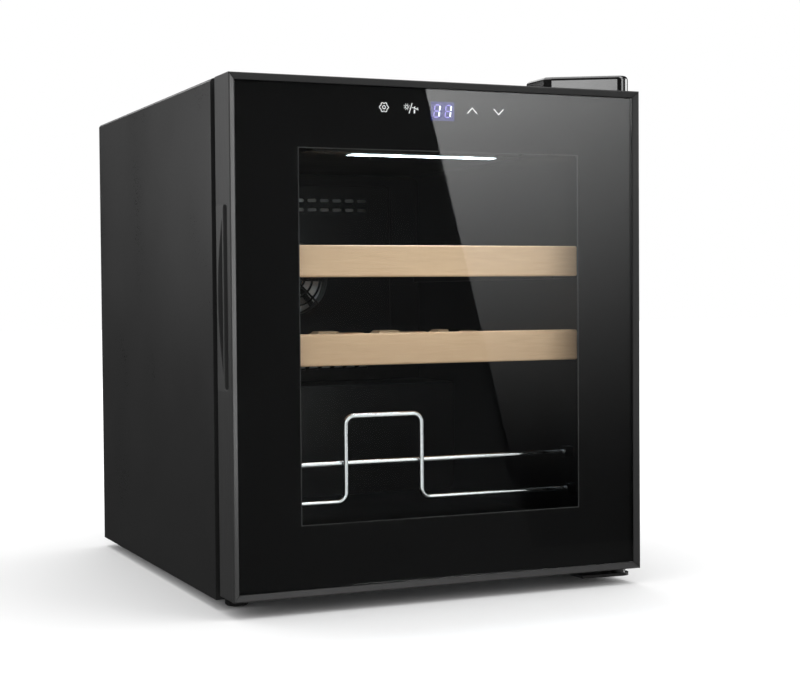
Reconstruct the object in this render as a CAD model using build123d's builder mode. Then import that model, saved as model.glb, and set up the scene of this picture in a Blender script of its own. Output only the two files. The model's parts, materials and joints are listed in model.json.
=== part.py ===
"""A compressor wine cooler: glass door on the right-hand hinges, two sliding beech shelves, a wire rack.

Frame: origin on the floor at the middle of the footprint, +Z up, the door faces -Y and is hinged on +X.
All sizes are in millimetres. Spans are written as (low, high).
"""
import os
from math import cos, pi, sin

from build123d import *

os.makedirs("parts", exist_ok=True)

# ---------------------------------------------------------------- driving sizes
overall_width = 430.0
overall_depth = 480.0
overall_height = 510.0

foot_height = 10.0
hinge_cover_height = 16.0
door_thickness = 44.0
door_gap = 9.0                  # between the door and the cabinet, filled by the gasket
door_top_clearance = 1.0
door_bottom_rise = 6.0          # the door's bottom edge above the cabinet's

shell_sheet = 0.8               # painted steel
shell_bend = 4.0
shell_return = 12.0             # folded edges of the shell, front and back
base_sheet = 1.0
base_upturn = 12.0
back_panel_step = 2.7           # how far the back panel stands proud
back_panel_drop = 29.0          # from the cabinet's top to the panel's top edge

side_wall = 42.0
top_wall = 56.0
bottom_wall = 52.0
rear_wall = 47.0
liner_wall = 1.8
liner_corner = 12.0
machine_depth = 112.0           # compressor compartment, from the back
hump_foam = 30.0                # insulation between the compartment and the cabin

bezel_width = 6.0               # sloped picture-frame edge round the glass
bezel_depth = 3.0
bezel_round = 0.8
bar_width = 28.0
bar_wall = 1.8
glass_clearance = 0.3
front_glass_thickness = 4.0
border_print = 0.2
spacer_depth = 10.0
inner_glass_thickness = 3.0
window_side_inset = 68.5        # from the door's outline to the clear window
window_end_inset = 65.5         # the same at the top and the bottom
inner_rim_inset = 45.0          # opening in the back of the door
inner_plate = 4.0
mitre_gap = 0.15

gasket_inset = 14.0
gasket_width = 22.0
seal_gap = 0.3
gasket_wall = 1.2

pin_radius = 4.0
pin_clearance = 0.05            # radial, pin in bush
pin_inset_x = 12.0
pin_inset_y = 22.0
bush_wall = 3.0
bush_length = 24.0
bracket_sheet = 3.0

handle_length = 167.0
handle_centre = 291.5
slot_width = 11.0
fin_width = 3.5
scoop_length = 141.0
scoop_width = 15.0
grip_depth = 16.0
grip_wall = 1.5

control_drop = 27.0             # from the door's top edge to the row of touch keys
display_width = 25.0
display_height = 18.0
key_pitch = 27.5
key_count = 5                   # two keys on each side of the display
touch_board_height = 25.0

shelf_count = 2
shelf_bottom = 226.0            # underside of the lower shelf's front board
shelf_pitch = 84.0
board_height = 30.0
board_thickness = 18.0
board_setback = 13.6            # from the inner glass to the front board
board_half_gap = 10.5           # from the board's end to the cabin wall
rail_width = 13.0
rail_height = 14.0
rail_rise = 8.0                 # shelf rails above the board's underside
shelf_depth = 300.0
slat_count = 4
slat_width = 22.0
bottles_across = 4
cradle_radius = 40.0
cradle_depth = 10.0

wire_radius = 2.5
rack_setback = 9.0              # from the cabinet's front face
rack_low_rail = 93.0
rack_high_rail = 130.0
rack_loop_top = 176.0
rack_loop_left = -80.0
rack_loop_width = 81.0
rack_bend = 9.0

lamp_length = 230.0
lamp_width = 30.0
lamp_height = 8.0
lens_length = 158.0
lens_offset = 12.0
lamp_setback = 10.0

fan_size = 92.0
fan_depth = 16.0
fan_blades = 7
duct_depth = 22.0
duct_wall = 2.0
duct_width = 250.0
guard_rib = 2.2

compressor_radius = 52.0
compressor_height = 112.0
compressor_x = 70.0
grommet_height = 10.0
tray_height = 14.0
tray_gap = 6.0                  # under and over the drip tray on top of the compressor
coil_radius = 2.0
coil_margin = 26.0              # from the back panel's edges to the first and last run
coil_runs = 8

screw_radius = 2.0
screw_head = 3.6
screw_sink = 0.6                # counterbore in the back sheets

foot_inset = 27.0
front_foot_setback = 20.0
rear_foot_setback = 24.0
front_foot_radius = 11.0
rear_foot_radius = 12.0
stud_radius = 4.0
stud_height = 16.0
nut_height = 14.0

fit_clearance = 0.2             # loose pieces of one body that slip into each other

# ---------------------------------------------------------------- places worked out from them
half_width = overall_width / 2
door_front = -overall_depth / 2
door_back = door_front + door_thickness
cabinet_front = door_back + door_gap
cabinet_back = overall_depth / 2 - back_panel_step
cabinet_bottom = foot_height
cabinet_top = overall_height - hinge_cover_height
door_bottom = cabinet_bottom + door_bottom_rise
door_top = cabinet_top - door_top_clearance

shell_inside = half_width - shell_sheet
face_inside = shell_inside - shell_return
base_top = cabinet_bottom + base_sheet

cabin_half = half_width - side_wall
cabin_floor = cabinet_bottom + bottom_wall
cabin_ceiling = cabinet_top - top_wall
cabin_back = cabinet_back - rear_wall
machine_front = cabinet_back - machine_depth
hump_front = machine_front - hump_foam
tray_bottom = base_top + grommet_height + compressor_height + tray_gap
machine_top = tray_bottom + tray_height + tray_gap
hump_top = machine_top + hump_foam

glass_front = door_front + bezel_depth
border_front = glass_front + front_glass_thickness
spacer_front = border_front + border_print
inner_glass_front = spacer_front + spacer_depth
inner_glass_back = inner_glass_front + inner_glass_thickness
plate_front = door_back - inner_plate

pin_x = half_width - pin_inset_x
pin_y = door_front + pin_inset_y
bush_bore = pin_radius + pin_clearance
bush_radius = bush_bore + bush_wall

rail_outer = cabin_half - board_half_gap
rail_inner = rail_outer - rail_width
shelf_front = inner_glass_back + board_setback
shelf_rear = shelf_front + shelf_depth

duct_front = cabin_back - duct_depth


# ---------------------------------------------------------------- helpers
def front_plane(y):
    """A plane across the cooler at this y: local x is +X, local y is +Z, and it faces -Y."""
    return Plane.XZ.offset(-y)


def side_plane(x):
    """A plane along the cooler at this x: local x is +Y, local y is +Z, and it faces +X."""
    return Plane.YZ.offset(x)


def block(x_span, y_span, z_span, mode=Mode.ADD):
    """Add or cut a box that fills three spans."""
    spans = (x_span, y_span, z_span)
    with Locations(tuple(sum(span) / 2 for span in spans)):
        Box(*[high - low for low, high in spans], mode=mode)


def upright(x, y, z_span, radius, mode=Mode.ADD):
    """Add or cut a cylinder that stands on Z."""
    with Locations((x, y, sum(z_span) / 2)):
        Cylinder(radius, z_span[1] - z_span[0], mode=mode)


def rectangle(u_span, v_span, mode=Mode.ADD):
    """Add or cut a rectangle that fills two spans of the sketch."""
    with Locations((sum(u_span) / 2, sum(v_span) / 2)):
        Rectangle(u_span[1] - u_span[0], v_span[1] - v_span[0], mode=mode)


def door_spans(inset):
    """The door's outline moved in by inset, as its x and z spans."""
    return (-half_width + inset, half_width - inset), (door_bottom + inset, door_top - inset)


def door_ring(outer_inset, inner_inset, y_span, mode=Mode.ADD):
    """Add or cut a rectangular ring that runs round the door."""
    with BuildSketch(front_plane(y_span[0])) as ring:
        rectangle(*door_spans(outer_inset))
        rectangle(*door_spans(inner_inset), mode=Mode.SUBTRACT)
    extrude(ring.sketch, amount=y_span[0] - y_span[1], mode=mode)


def cabin_space(grow):
    """The cabin's inside, grown by a wall: tall at the back, down to the floor in front of the hump."""
    with BuildPart() as space:
        block(
            (-cabin_half - grow, cabin_half + grow),
            (cabinet_front, hump_front + grow),
            (cabin_floor - grow, cabin_ceiling + grow),
        )
        block(
            (-cabin_half - grow, cabin_half + grow),
            (cabinet_front, cabin_back + grow),
            (hump_top - grow, cabin_ceiling + grow),
        )
        long_edges = space.edges().filter_by(Axis.Y)
        fillet(long_edges.group_by(Axis.Z)[-1], liner_corner + grow)
        long_edges = space.edges().filter_by(Axis.Y)
        fillet(long_edges.group_by(Axis.Z)[0], liner_corner + grow)
    return space.part


# ================================================================ cabinet
# Shell: one steel sheet folded over the sides and top, its front and back edges turned in.
with BuildPart() as outer_shell:
    folded = shell_sheet + shell_return
    for side_wide, top_tall, y_span in (
        (shell_sheet, shell_sheet, (cabinet_front, cabinet_back)),
        (folded, folded, (cabinet_front, cabinet_front + shell_sheet)),
        (folded, back_panel_drop + shell_return, (cabinet_back - shell_sheet, cabinet_back)),
    ):
        with BuildSketch(front_plane(y_span[0])) as wrap:
            rectangle((-half_width, half_width), (cabinet_bottom, cabinet_top))
            fillet(wrap.vertices().group_by(Axis.Y)[-1], shell_bend)
            rectangle(
                (-half_width + side_wide, half_width - side_wide),
                (cabinet_bottom, cabinet_top - top_tall),
                mode=Mode.SUBTRACT,
            )
        extrude(amount=y_span[0] - y_span[1])
outer_shell.part.label = "outer_shell"
export_step(outer_shell.part, "parts/outer_shell.step")

# Base pan: closes the bottom and carries the compressor; a nut for each front foot is welded on.
foot_x = half_width - foot_inset
front_foot_y = cabinet_front + front_foot_setback
rear_foot_y = cabinet_back - rear_foot_setback
nut_radius = stud_radius + 4.0
machine_back = cabinet_back - shell_sheet
machine_middle = (machine_front + machine_back) / 2
with BuildPart() as base_pan:
    block((-face_inside, face_inside), (cabinet_front, cabinet_back), (cabinet_bottom, base_top))
    block(
        (-shell_inside, shell_inside),
        (cabinet_front + shell_sheet, machine_back),
        (cabinet_bottom, base_top),
    )
    upturn_top = base_top + base_upturn
    block(
        (-face_inside, face_inside),
        (cabinet_front, cabinet_front + base_sheet),
        (cabinet_bottom, upturn_top),
    )
    for side in (-1, 1):
        upturn = sorted((side * shell_inside, side * (shell_inside - base_sheet)))
        block(upturn, (cabinet_front + shell_sheet, machine_back), (cabinet_bottom, upturn_top))
        nut_place = (side * foot_x, front_foot_y)
        upright(*nut_place, (cabinet_bottom, base_top + nut_height), nut_radius)
        upright(
            *nut_place, (cabinet_bottom, base_top + nut_height), stud_radius + pin_clearance,
            mode=Mode.SUBTRACT,
        )
    with BuildSketch(Plane.XY.offset(cabinet_bottom)):
        with Locations((0, machine_middle)):
            with GridLocations(20, 52, 9, 2):
                SlotOverall(40, 6, rotation=90)
    extrude(amount=base_sheet, mode=Mode.SUBTRACT)
base_pan.part.label = "base_pan"
export_step(base_pan.part, "parts/base_pan.step")

# Compartment wall: the folded sheet that parts the compressor from the insulation.
compartment_half = shell_inside - base_sheet
drain_x = compressor_x
drain_y = cabin_back - duct_depth / 2
drain_radius = 6.0
with BuildPart() as compartment_wall:
    block(
        (-compartment_half, compartment_half),
        (machine_front, machine_front + shell_sheet),
        (base_top, machine_top + shell_sheet),
    )
    block(
        (-compartment_half, compartment_half),
        (machine_front, machine_back),
        (machine_top, machine_top + shell_sheet),
    )
    upright(
        drain_x, drain_y, (machine_top - 1, machine_top + 2), drain_radius + fit_clearance,
        mode=Mode.SUBTRACT,
    )
compartment_wall.part.label = "compartment_wall"
export_step(compartment_wall.part, "parts/compartment_wall.step")

# Back panel: a shallow steel tray screwed over the back, above the compressor compartment.
panel_half = half_width - 2.0
panel_back = cabinet_back + back_panel_step
panel_bottom = machine_top
panel_top = cabinet_top - back_panel_drop
panel_screws = [
    (side * (half_width - shell_return / 2 - shell_sheet), z)
    for side in (-1, 1)
    for z in (panel_bottom + 12.0, (panel_bottom + panel_top) / 2, panel_top - 12.0)
]
with BuildPart() as back_panel:
    block((-panel_half, panel_half), (cabinet_back, panel_back), (panel_bottom, panel_top))
    fillet(back_panel.edges().filter_by(Axis.Y), 3.0)
    fillet(back_panel.faces().sort_by(Axis.Y)[-1].edges(), 1.0)
    block(
        (-panel_half + shell_return + 2, panel_half - shell_return - 2),
        (cabinet_back, panel_back - shell_sheet),
        (panel_bottom + shell_return, panel_top - shell_return),
        mode=Mode.SUBTRACT,
    )
    for x, z in panel_screws:
        with Locations(Location((x, panel_back, z), (-90, 0, 0))):
            CounterBoreHole(screw_radius, screw_head + 0.2, screw_sink, depth=back_panel_step)
back_panel.part.label = "back_panel"
export_step(back_panel.part, "parts/back_panel.step")

# Condenser: a serpentine tube that gives its heat to the back panel from inside.
coil_y = panel_back - shell_sheet - coil_radius - 0.2
coil_half = panel_half - shell_return - 24.0
coil_low = panel_bottom + coil_margin
coil_pitch = (panel_top - panel_bottom - 2 * coil_margin) / (coil_runs - 1)
coil_turns = []
for run in range(coil_runs):
    ends = (-coil_half, coil_half) if run % 2 == 0 else (coil_half, -coil_half)
    coil_turns += [(x, coil_low + run * coil_pitch) for x in ends]
with BuildPart() as condenser_coil:
    with BuildLine(front_plane(coil_y)):
        coil_path = FilletPolyline(*coil_turns, radius=coil_pitch / 2 - 0.01)
    with BuildSketch(Plane(origin=coil_path @ 0, z_dir=coil_path % 0)):
        Circle(coil_radius)
    sweep()
condenser_coil.part.label = "condenser_coil"
export_step(condenser_coil.part, "parts/condenser_coil.step")

# Insulation: foam that fills the walls between the shell and the liner.
with BuildPart() as foam_insulation:
    block(
        (-compartment_half, compartment_half),
        (cabinet_front + liner_wall, machine_back),
        (base_top, cabinet_top - shell_sheet),
    )
    top_edges = foam_insulation.edges().filter_by(Axis.Y).group_by(Axis.Z)[-1]
    fillet(top_edges, shell_bend)
    block(
        (-panel_half + shell_return + 2.5, panel_half - shell_return - 2.5),
        (machine_back - 1, panel_back - shell_sheet),
        (panel_bottom + shell_return + 0.5, panel_top - shell_return - 0.5),
    )
    block(
        (-half_width, half_width),
        (machine_front, overall_depth),
        (0, machine_top + shell_sheet),
        mode=Mode.SUBTRACT,
    )
    add(cabin_space(liner_wall), mode=Mode.SUBTRACT)
    add(condenser_coil.part, mode=Mode.SUBTRACT)
    upright(drain_x, drain_y, (machine_top, hump_top), drain_radius, mode=Mode.SUBTRACT)
    for side in (-1, 1):
        upright(
            side * foot_x, front_foot_y, (base_top, foot_height + stud_height + 4.0), nut_radius,
            mode=Mode.SUBTRACT,
        )
foam_insulation.part.label = "foam_insulation"
export_step(foam_insulation.part, "parts/foam_insulation.step")

# Liner: black vacuum-formed tub with a front lip and a ledge for each shelf on both sides.
ledge_height = 10.0
ledge_back = cabin_back - duct_depth - 8.0
shelf_levels = [shelf_bottom + shelf * shelf_pitch for shelf in range(shelf_count)]
with BuildPart() as inner_liner:
    add(cabin_space(liner_wall))
    block(
        (-face_inside, face_inside),
        (cabinet_front, cabinet_front + liner_wall),
        (upturn_top, cabinet_top - shell_sheet - shell_return),
    )
    add(cabin_space(0), mode=Mode.SUBTRACT)
    for level in shelf_levels:
        ledge_top = level + rail_rise - seal_gap
        for side in (-1, 1):
            ledge = sorted((side * (cabin_half + liner_wall / 2), side * (rail_inner + 3.0)))
            block(ledge, (cabinet_front + 12.0, ledge_back), (ledge_top - ledge_height, ledge_top))
    upright(drain_x, drain_y, (hump_top - 5, hump_top + 5), drain_radius - 1.5, mode=Mode.SUBTRACT)
inner_liner.part.label = "inner_liner"
export_step(inner_liner.part, "parts/inner_liner.step")

# Drain: takes the condensate from behind the duct cover down to the tray on the compressor.
with BuildPart() as drain_tube:
    tube_top = hump_top - liner_wall
    upright(drain_x, drain_y, (tray_bottom + tray_height - 2, tube_top), drain_radius)
    upright(drain_x, drain_y, (tray_bottom, hump_top), drain_radius - 1.5, mode=Mode.SUBTRACT)
drain_tube.part.label = "drain_tube"
export_step(drain_tube.part, "parts/drain_tube.step")

# ================================================================ cooling inside the cabin
fan_x = 0.0
fan_z = (hump_top + cabin_ceiling) / 2
fan_back = duct_front + duct_wall + fan_depth
fan_bore = fan_size / 2 - 3.0
duct_low = hump_top
duct_high = cabin_ceiling - 14.0
duct_half = duct_width / 2
# Duct cover: air slots above and below, and a ringed guard in front of the fan.
with BuildPart() as duct_cover:
    block((-duct_half, duct_half), (duct_front, cabin_back), (duct_low, duct_high))
    fillet(duct_cover.edges().filter_by(Axis.Y), 6.0)
    fillet(duct_cover.faces().sort_by(Axis.Y)[0].edges(), 1.5)
    block(
        (-duct_half + duct_wall, duct_half - duct_wall),
        (duct_front + duct_wall, cabin_back),
        (duct_low + duct_wall, duct_high - duct_wall),
        mode=Mode.SUBTRACT,
    )
    with BuildSketch(front_plane(duct_front)):
        with Locations((fan_x, fan_z)):
            Circle(fan_bore)
        for z in (duct_high - 24.0, duct_low + 22.0):
            with Locations((0, z)):
                with GridLocations(16, 11, 12, 2):
                    SlotOverall(12, 4)
    extrude(amount=-duct_wall, mode=Mode.SUBTRACT)
    with BuildSketch(front_plane(duct_front)):
        with Locations((fan_x, fan_z)):
            for ring_radius in (fan_bore * 0.78, fan_bore * 0.55, fan_bore * 0.32):
                Circle(ring_radius + guard_rib / 2)
                Circle(ring_radius - guard_rib / 2, mode=Mode.SUBTRACT)
            for angle in (0, 45, 90, 135):
                Rectangle(2 * fan_bore + 0.5, guard_rib, rotation=angle)
    extrude(amount=-duct_wall)
duct_cover.part.label = "duct_cover"
export_step(duct_cover.part, "parts/duct_cover.step")

# Fan frame: square frame behind the guard with the motor on three arms.
axle_radius = 1.5
motor_radius = 13.0
motor_depth = 5.0
with BuildPart() as fan_frame:
    block(
        (fan_x - fan_size / 2, fan_x + fan_size / 2),
        (duct_front + duct_wall, fan_back),
        (fan_z - fan_size / 2, fan_z + fan_size / 2),
    )
    fillet(fan_frame.edges().filter_by(Axis.Y), 5.0)
    with BuildSketch(front_plane(duct_front)):
        with Locations((fan_x, fan_z)):
            Circle(fan_bore)
            with GridLocations(fan_size - 10, fan_size - 10, 2, 2):
                Circle(screw_radius)
    extrude(amount=-duct_depth, mode=Mode.SUBTRACT)
    with BuildSketch(front_plane(fan_back - 2.0)):
        with Locations((fan_x, fan_z)):
            Circle(motor_radius)
            with PolarLocations((fan_bore + motor_radius) / 2, 3, start_angle=30):
                Rectangle(fan_bore - motor_radius + 4, 5)
    extrude(amount=-2.0)
    with BuildSketch(front_plane(fan_back - motor_depth)):
        with Locations((fan_x, fan_z)):
            Circle(motor_radius)
    extrude(amount=-motor_depth)
    with BuildSketch(front_plane(fan_back - motor_depth)):
        with Locations((fan_x, fan_z)):
            Circle(axle_radius)
    extrude(amount=7.0)
fan_frame.part.label = "fan_frame"
export_step(fan_frame.part, "parts/fan_frame.step")

# Fan rotor: hub with swept blades, turning on the frame's axle.
hub_front = duct_front + duct_wall + 2.0
hub_back = fan_back - motor_depth - 0.4
blade_tip = fan_bore - 1.5
blade_sheet = 1.6
with BuildPart() as fan_rotor:
    with BuildSketch(front_plane(hub_front)):
        with Locations((fan_x, fan_z)):
            Circle(motor_radius)
    extrude(amount=hub_front - hub_back)
    fillet(fan_rotor.faces().sort_by(Axis.Y)[0].edges(), 1.5)
    with BuildSketch(front_plane(hub_back)):
        with Locations((fan_x, fan_z)):
            Circle(axle_radius + pin_clearance)
    extrude(amount=6.9, mode=Mode.SUBTRACT)
    for blade in range(fan_blades):
        angle = blade * 2 * pi / fan_blades
        outward = (cos(angle), 0, sin(angle))
        across = Vector(-sin(angle), 0, cos(angle)) + Vector(0, 0.8, 0)
        root_x = fan_x + (motor_radius - 1.0) * cos(angle)
        root_z = fan_z + (motor_radius - 1.0) * sin(angle)
        root_y = (hub_front + hub_back) / 2
        root_plane = Plane(origin=(root_x, root_y, root_z), x_dir=across, z_dir=outward)
        with BuildSketch(root_plane):
            Rectangle(8.5, blade_sheet)
        with BuildSketch(root_plane.offset(blade_tip - motor_radius)):
            Rectangle(10.5, blade_sheet * 0.75)
        loft()
fan_rotor.part.label = "fan_rotor"
export_step(fan_rotor.part, "parts/fan_rotor.step")

# Evaporator: roll-bonded aluminium plate on the back wall with a raised channel.
evaporator_back = cabin_back - 0.5
evaporator_sheet = 1.5
channel_height = 1.2
with BuildPart() as evaporator_plate:
    block(
        (-duct_half + 12, duct_half - 12),
        (evaporator_back - evaporator_sheet, evaporator_back),
        (duct_low + 16, duct_high - 12),
    )
    for row in range(9):
        z = duct_low + 34 + row * 22.0
        if z < duct_high - 24:
            block(
                (-duct_half + 26, duct_half - 26),
                (evaporator_back - evaporator_sheet - channel_height, evaporator_back - 1),
                (z - 3.5, z + 3.5),
            )
evaporator_plate.part.label = "evaporator_plate"
export_step(evaporator_plate.part, "parts/evaporator_plate.step")

# ================================================================ lamp under the ceiling
lamp_front = cabinet_front + lamp_setback
lamp_back = lamp_front + lamp_width
lamp_bottom = cabin_ceiling - lamp_height
lens_span = (lens_offset - lens_length / 2, lens_offset + lens_length / 2)
lens_y_span = (lamp_front + 7.0, lamp_back - 7.0)
lens_sheet = 1.5
sensor_x = (-lamp_length / 2 + lens_span[0]) / 2
with BuildPart() as lamp_housing:
    block(
        (-lamp_length / 2, lamp_length / 2), (lamp_front, lamp_back), (lamp_bottom, cabin_ceiling)
    )
    fillet(lamp_housing.edges().filter_by(Axis.Z), 5.0)
    fillet(lamp_housing.faces().sort_by(Axis.Z)[0].edges(), 1.5)
    block(lens_span, lens_y_span, (lamp_bottom, cabin_ceiling - 1.5), mode=Mode.SUBTRACT)
    block(
        (-lamp_length / 2 + 8, lens_span[0] - 5), lens_y_span, (lamp_bottom + 2, cabin_ceiling - 1.5),
        mode=Mode.SUBTRACT,
    )
    with BuildSketch(Plane.XY.offset(lamp_bottom)):
        with Locations((sensor_x, (lamp_front + lamp_back) / 2)):
            with GridLocations(3.5, 10, 5, 1):
                SlotOverall(12, 1.6, rotation=90)
    extrude(amount=2.0, mode=Mode.SUBTRACT)
lamp_housing.part.label = "lamp_housing"
export_step(lamp_housing.part, "parts/lamp_housing.step")

with BuildPart() as lamp_lens:
    block(
        (lens_span[0] + fit_clearance, lens_span[1] - fit_clearance),
        (lens_y_span[0] + fit_clearance, lens_y_span[1] - fit_clearance),
        (lamp_bottom, lamp_bottom + lens_sheet),
    )
lamp_lens.part.label = "lamp_lens"
export_step(lamp_lens.part, "parts/lamp_lens.step")

led_count = 6
led_pitch = lens_length / led_count
with BuildPart() as led_strip:
    board_top = cabin_ceiling - 1.5
    block(
        (lens_span[0] + 2, lens_span[1] - 2),
        ((lamp_front + lamp_back) / 2 - 4, (lamp_front + lamp_back) / 2 + 4),
        (board_top - 1.2, board_top),
    )
    with Locations((lens_offset, (lamp_front + lamp_back) / 2, board_top - 1.2 - 0.6)):
        with GridLocations(led_pitch, 1, led_count, 1):
            Box(3.5, 2.8, 1.2)
led_strip.part.label = "led_strip"
export_step(led_strip.part, "parts/led_strip.step")

with BuildPart() as temperature_sensor:
    with Locations(Location((sensor_x, (lamp_front + lamp_back) / 2, cabin_ceiling - 4), (0, 90, 0))):
        Cylinder(1.8, 16.0)
    fillet(temperature_sensor.edges().filter_by(GeomType.CIRCLE), 1.2)
temperature_sensor.part.label = "temperature_sensor"
export_step(temperature_sensor.part, "parts/temperature_sensor.step")

# ================================================================ compressor compartment
plate_bottom = base_top + grommet_height - 2.0
plate_sheet = 2.5
plate_half_x = 78.0
plate_half_y = 44.0
stud_half_x = plate_half_x - 12.0
stud_half_y = plate_half_y - 11.0
with BuildPart() as compressor:
    with BuildSketch(Plane.XY.offset(plate_bottom)):
        with Locations((compressor_x, machine_middle)):
            RectangleRounded(2 * plate_half_x, 2 * plate_half_y, 9.0)
            with GridLocations(2 * stud_half_x, 2 * stud_half_y, 2, 2):
                Circle(5.0, mode=Mode.SUBTRACT)
    extrude(amount=plate_sheet)
    with BuildSketch(Plane.XY.offset(plate_bottom + plate_sheet)):
        with Locations((compressor_x, machine_middle)):
            Ellipse(compressor_radius + 8.0, compressor_radius - 4.0)
    extrude(amount=compressor_height - plate_sheet)
    fillet(compressor.faces().sort_by(Axis.Z)[-1].edges(), 22.0)
    seam_z = plate_bottom + plate_sheet + compressor_height * 0.55
    with BuildSketch(Plane.XY.offset(seam_z)):
        with Locations((compressor_x, machine_middle)):
            Ellipse(compressor_radius + 10.0, compressor_radius - 2.0)
    extrude(amount=4.0)
compressor.part.label = "compressor"
export_step(compressor.part, "parts/compressor.step")

with BuildPart() as compressor_grommets:
    with BuildSketch(Plane.XY.offset(base_top)):
        with Locations((compressor_x, machine_middle)):
            with GridLocations(2 * stud_half_x, 2 * stud_half_y, 2, 2):
                Circle(8.0)
    extrude(amount=plate_bottom - base_top)
    with BuildSketch(Plane.XY.offset(plate_bottom)):
        with Locations((compressor_x, machine_middle)):
            with GridLocations(2 * stud_half_x, 2 * stud_half_y, 2, 2):
                Circle(5.0 - fit_clearance)
    extrude(amount=plate_sheet + 1.0)
    with BuildSketch(Plane.XY.offset(base_top)):
        with Locations((compressor_x, machine_middle)):
            with GridLocations(2 * stud_half_x, 2 * stud_half_y, 2, 2):
                Circle(3.0 + fit_clearance)
    extrude(amount=grommet_height + 5.0, mode=Mode.SUBTRACT)
compressor_grommets.part.label = "compressor_grommets"
export_step(compressor_grommets.part, "parts/compressor_grommets.step")

with BuildPart() as compressor_bolts:
    bolt_top = plate_bottom + plate_sheet + 1.0 + 4.0
    for radius, z_span in (
        (3.0, (base_top, bolt_top)),
        (6.0, (plate_bottom + plate_sheet + 1.0, bolt_top)),
    ):
        with BuildSketch(Plane.XY.offset(z_span[0])):
            with Locations((compressor_x, machine_middle)):
                with GridLocations(2 * stud_half_x, 2 * stud_half_y, 2, 2):
                    if radius > 3.0:
                        RegularPolygon(radius, 6)
                    else:
                        Circle(radius)
        extrude(amount=z_span[1] - z_span[0])
compressor_bolts.part.label = "compressor_bolts"
export_step(compressor_bolts.part, "parts/compressor_bolts.step")

# Start relay: plastic box on the side of the compressor.
relay_x = compressor_x - compressor_radius - 10.0
with BuildPart() as relay_cover:
    block(
        (relay_x - 30, relay_x - 1.0),
        (machine_middle - 22, machine_middle + 22),
        (base_top + 42, base_top + 96),
    )
    fillet(relay_cover.edges(), 3.0)
relay_cover.part.label = "relay_cover"
export_step(relay_cover.part, "parts/relay_cover.step")

# Evaporating tray: sits over the compressor and catches the drained water.
with BuildPart() as drip_tray:
    block(
        (compressor_x - 66, compressor_x + 66),
        (machine_front + 6, machine_back - 8),
        (tray_bottom, tray_bottom + tray_height),
    )
    fillet(drip_tray.edges().filter_by(Axis.Z), 8.0)
    fillet(drip_tray.faces().sort_by(Axis.Z)[0].edges(), 3.0)
    offset(amount=-1.5, openings=drip_tray.faces().sort_by(Axis.Z)[-1])
drip_tray.part.label = "drip_tray"
export_step(drip_tray.part, "parts/drip_tray.step")

# Filter drier and the pipes between compressor, drier and insulation.
drier_x = relay_x - 62.0
drier_y = machine_middle + 8.0
drier_low = base_top + 24.0
drier_high = drier_low + 84.0
with BuildPart() as filter_drier:
    with BuildSketch(Plane.XZ.offset(-drier_y)):
        with BuildLine():
            Polyline(
                (drier_x, drier_low),
                (drier_x + 3.0, drier_low),
                (drier_x + 9.0, drier_low + 12.0),
                (drier_x + 9.0, drier_high - 12.0),
                (drier_x + 3.0, drier_high),
                (drier_x, drier_high),
                close=True,
            )
        make_face()
    revolve(axis=Axis((drier_x, drier_y, 0), (0, 0, 1)))
filter_drier.part.label = "filter_drier"
export_step(filter_drier.part, "parts/filter_drier.step")

pipe_radius = 2.5
pipe_bend = 10.0
with BuildPart() as discharge_pipe:
    with BuildLine() as discharge_route:
        FilletPolyline(
            (compressor_x - 20, machine_back - 14.0, base_top + 60),
            (relay_x - 42.0, machine_back - 14.0, base_top + 60),
            (relay_x - 42.0, machine_back - 14.0, drier_high + 22.0),
            (drier_x, machine_back - 14.0, drier_high + 22.0),
            (drier_x, drier_y, drier_high + 22.0),
            (drier_x, drier_y, drier_high + 0.2),
            radius=pipe_bend,
        )
    discharge_line = discharge_route.wire()
    with BuildSketch(Plane(origin=discharge_line @ 0, z_dir=discharge_line % 0)):
        Circle(pipe_radius)
    sweep(path=discharge_line)
    add(compressor.part, mode=Mode.SUBTRACT)

with BuildPart() as suction_pipe:
    with BuildLine() as suction_route:
        FilletPolyline(
            (compressor_x - 14, machine_front + 12.0, base_top + 74),
            (relay_x - 44.0, machine_front + 12.0, base_top + 74),
            (relay_x - 44.0, machine_front + 12.0, machine_top),
            radius=pipe_bend,
        )
    suction_line = suction_route.wire()
    with BuildSketch(Plane(origin=suction_line @ 0, z_dir=suction_line % 0)):
        Circle(pipe_radius + 1.0)
    sweep(path=suction_line)
    add(compressor.part, mode=Mode.SUBTRACT)
with BuildPart() as refrigerant_pipes:
    add(discharge_pipe.part)
    add(suction_pipe.part)
refrigerant_pipes.part.label = "refrigerant_pipes"
export_step(refrigerant_pipes.part, "parts/refrigerant_pipes.step")

# Control box with its board, on the free side of the compartment.
box_x_span = (-compartment_half + 14.0, -compartment_half + 94.0)
box_y_span = (machine_front + 10.0, machine_back - 30.0)
box_z_span = (base_top + 6.0, base_top + 112.0)
box_wall = 2.0
with BuildPart() as control_box:
    block(box_x_span, box_y_span, box_z_span)
    fillet(control_box.edges().filter_by(Axis.Y), 4.0)
    offset(amount=-box_wall, openings=control_box.faces().sort_by(Axis.Y)[-1])
    for z in (box_z_span[0] + 20, box_z_span[1] - 20):
        block(
            (sum(box_x_span) / 2 - 8, sum(box_x_span) / 2 + 8),
            (box_y_span[0], box_y_span[0] + 10.0),
            (z - 8, z + 8),
        )
    block(
        (sum(box_x_span) / 2 - 10, sum(box_x_span) / 2 + 10),
        (box_y_span[0] + 20, box_y_span[0] + 50),
        (base_top, box_z_span[0] + box_wall),
    )
control_box.part.label = "control_box"
export_step(control_box.part, "parts/control_box.step")

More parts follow.
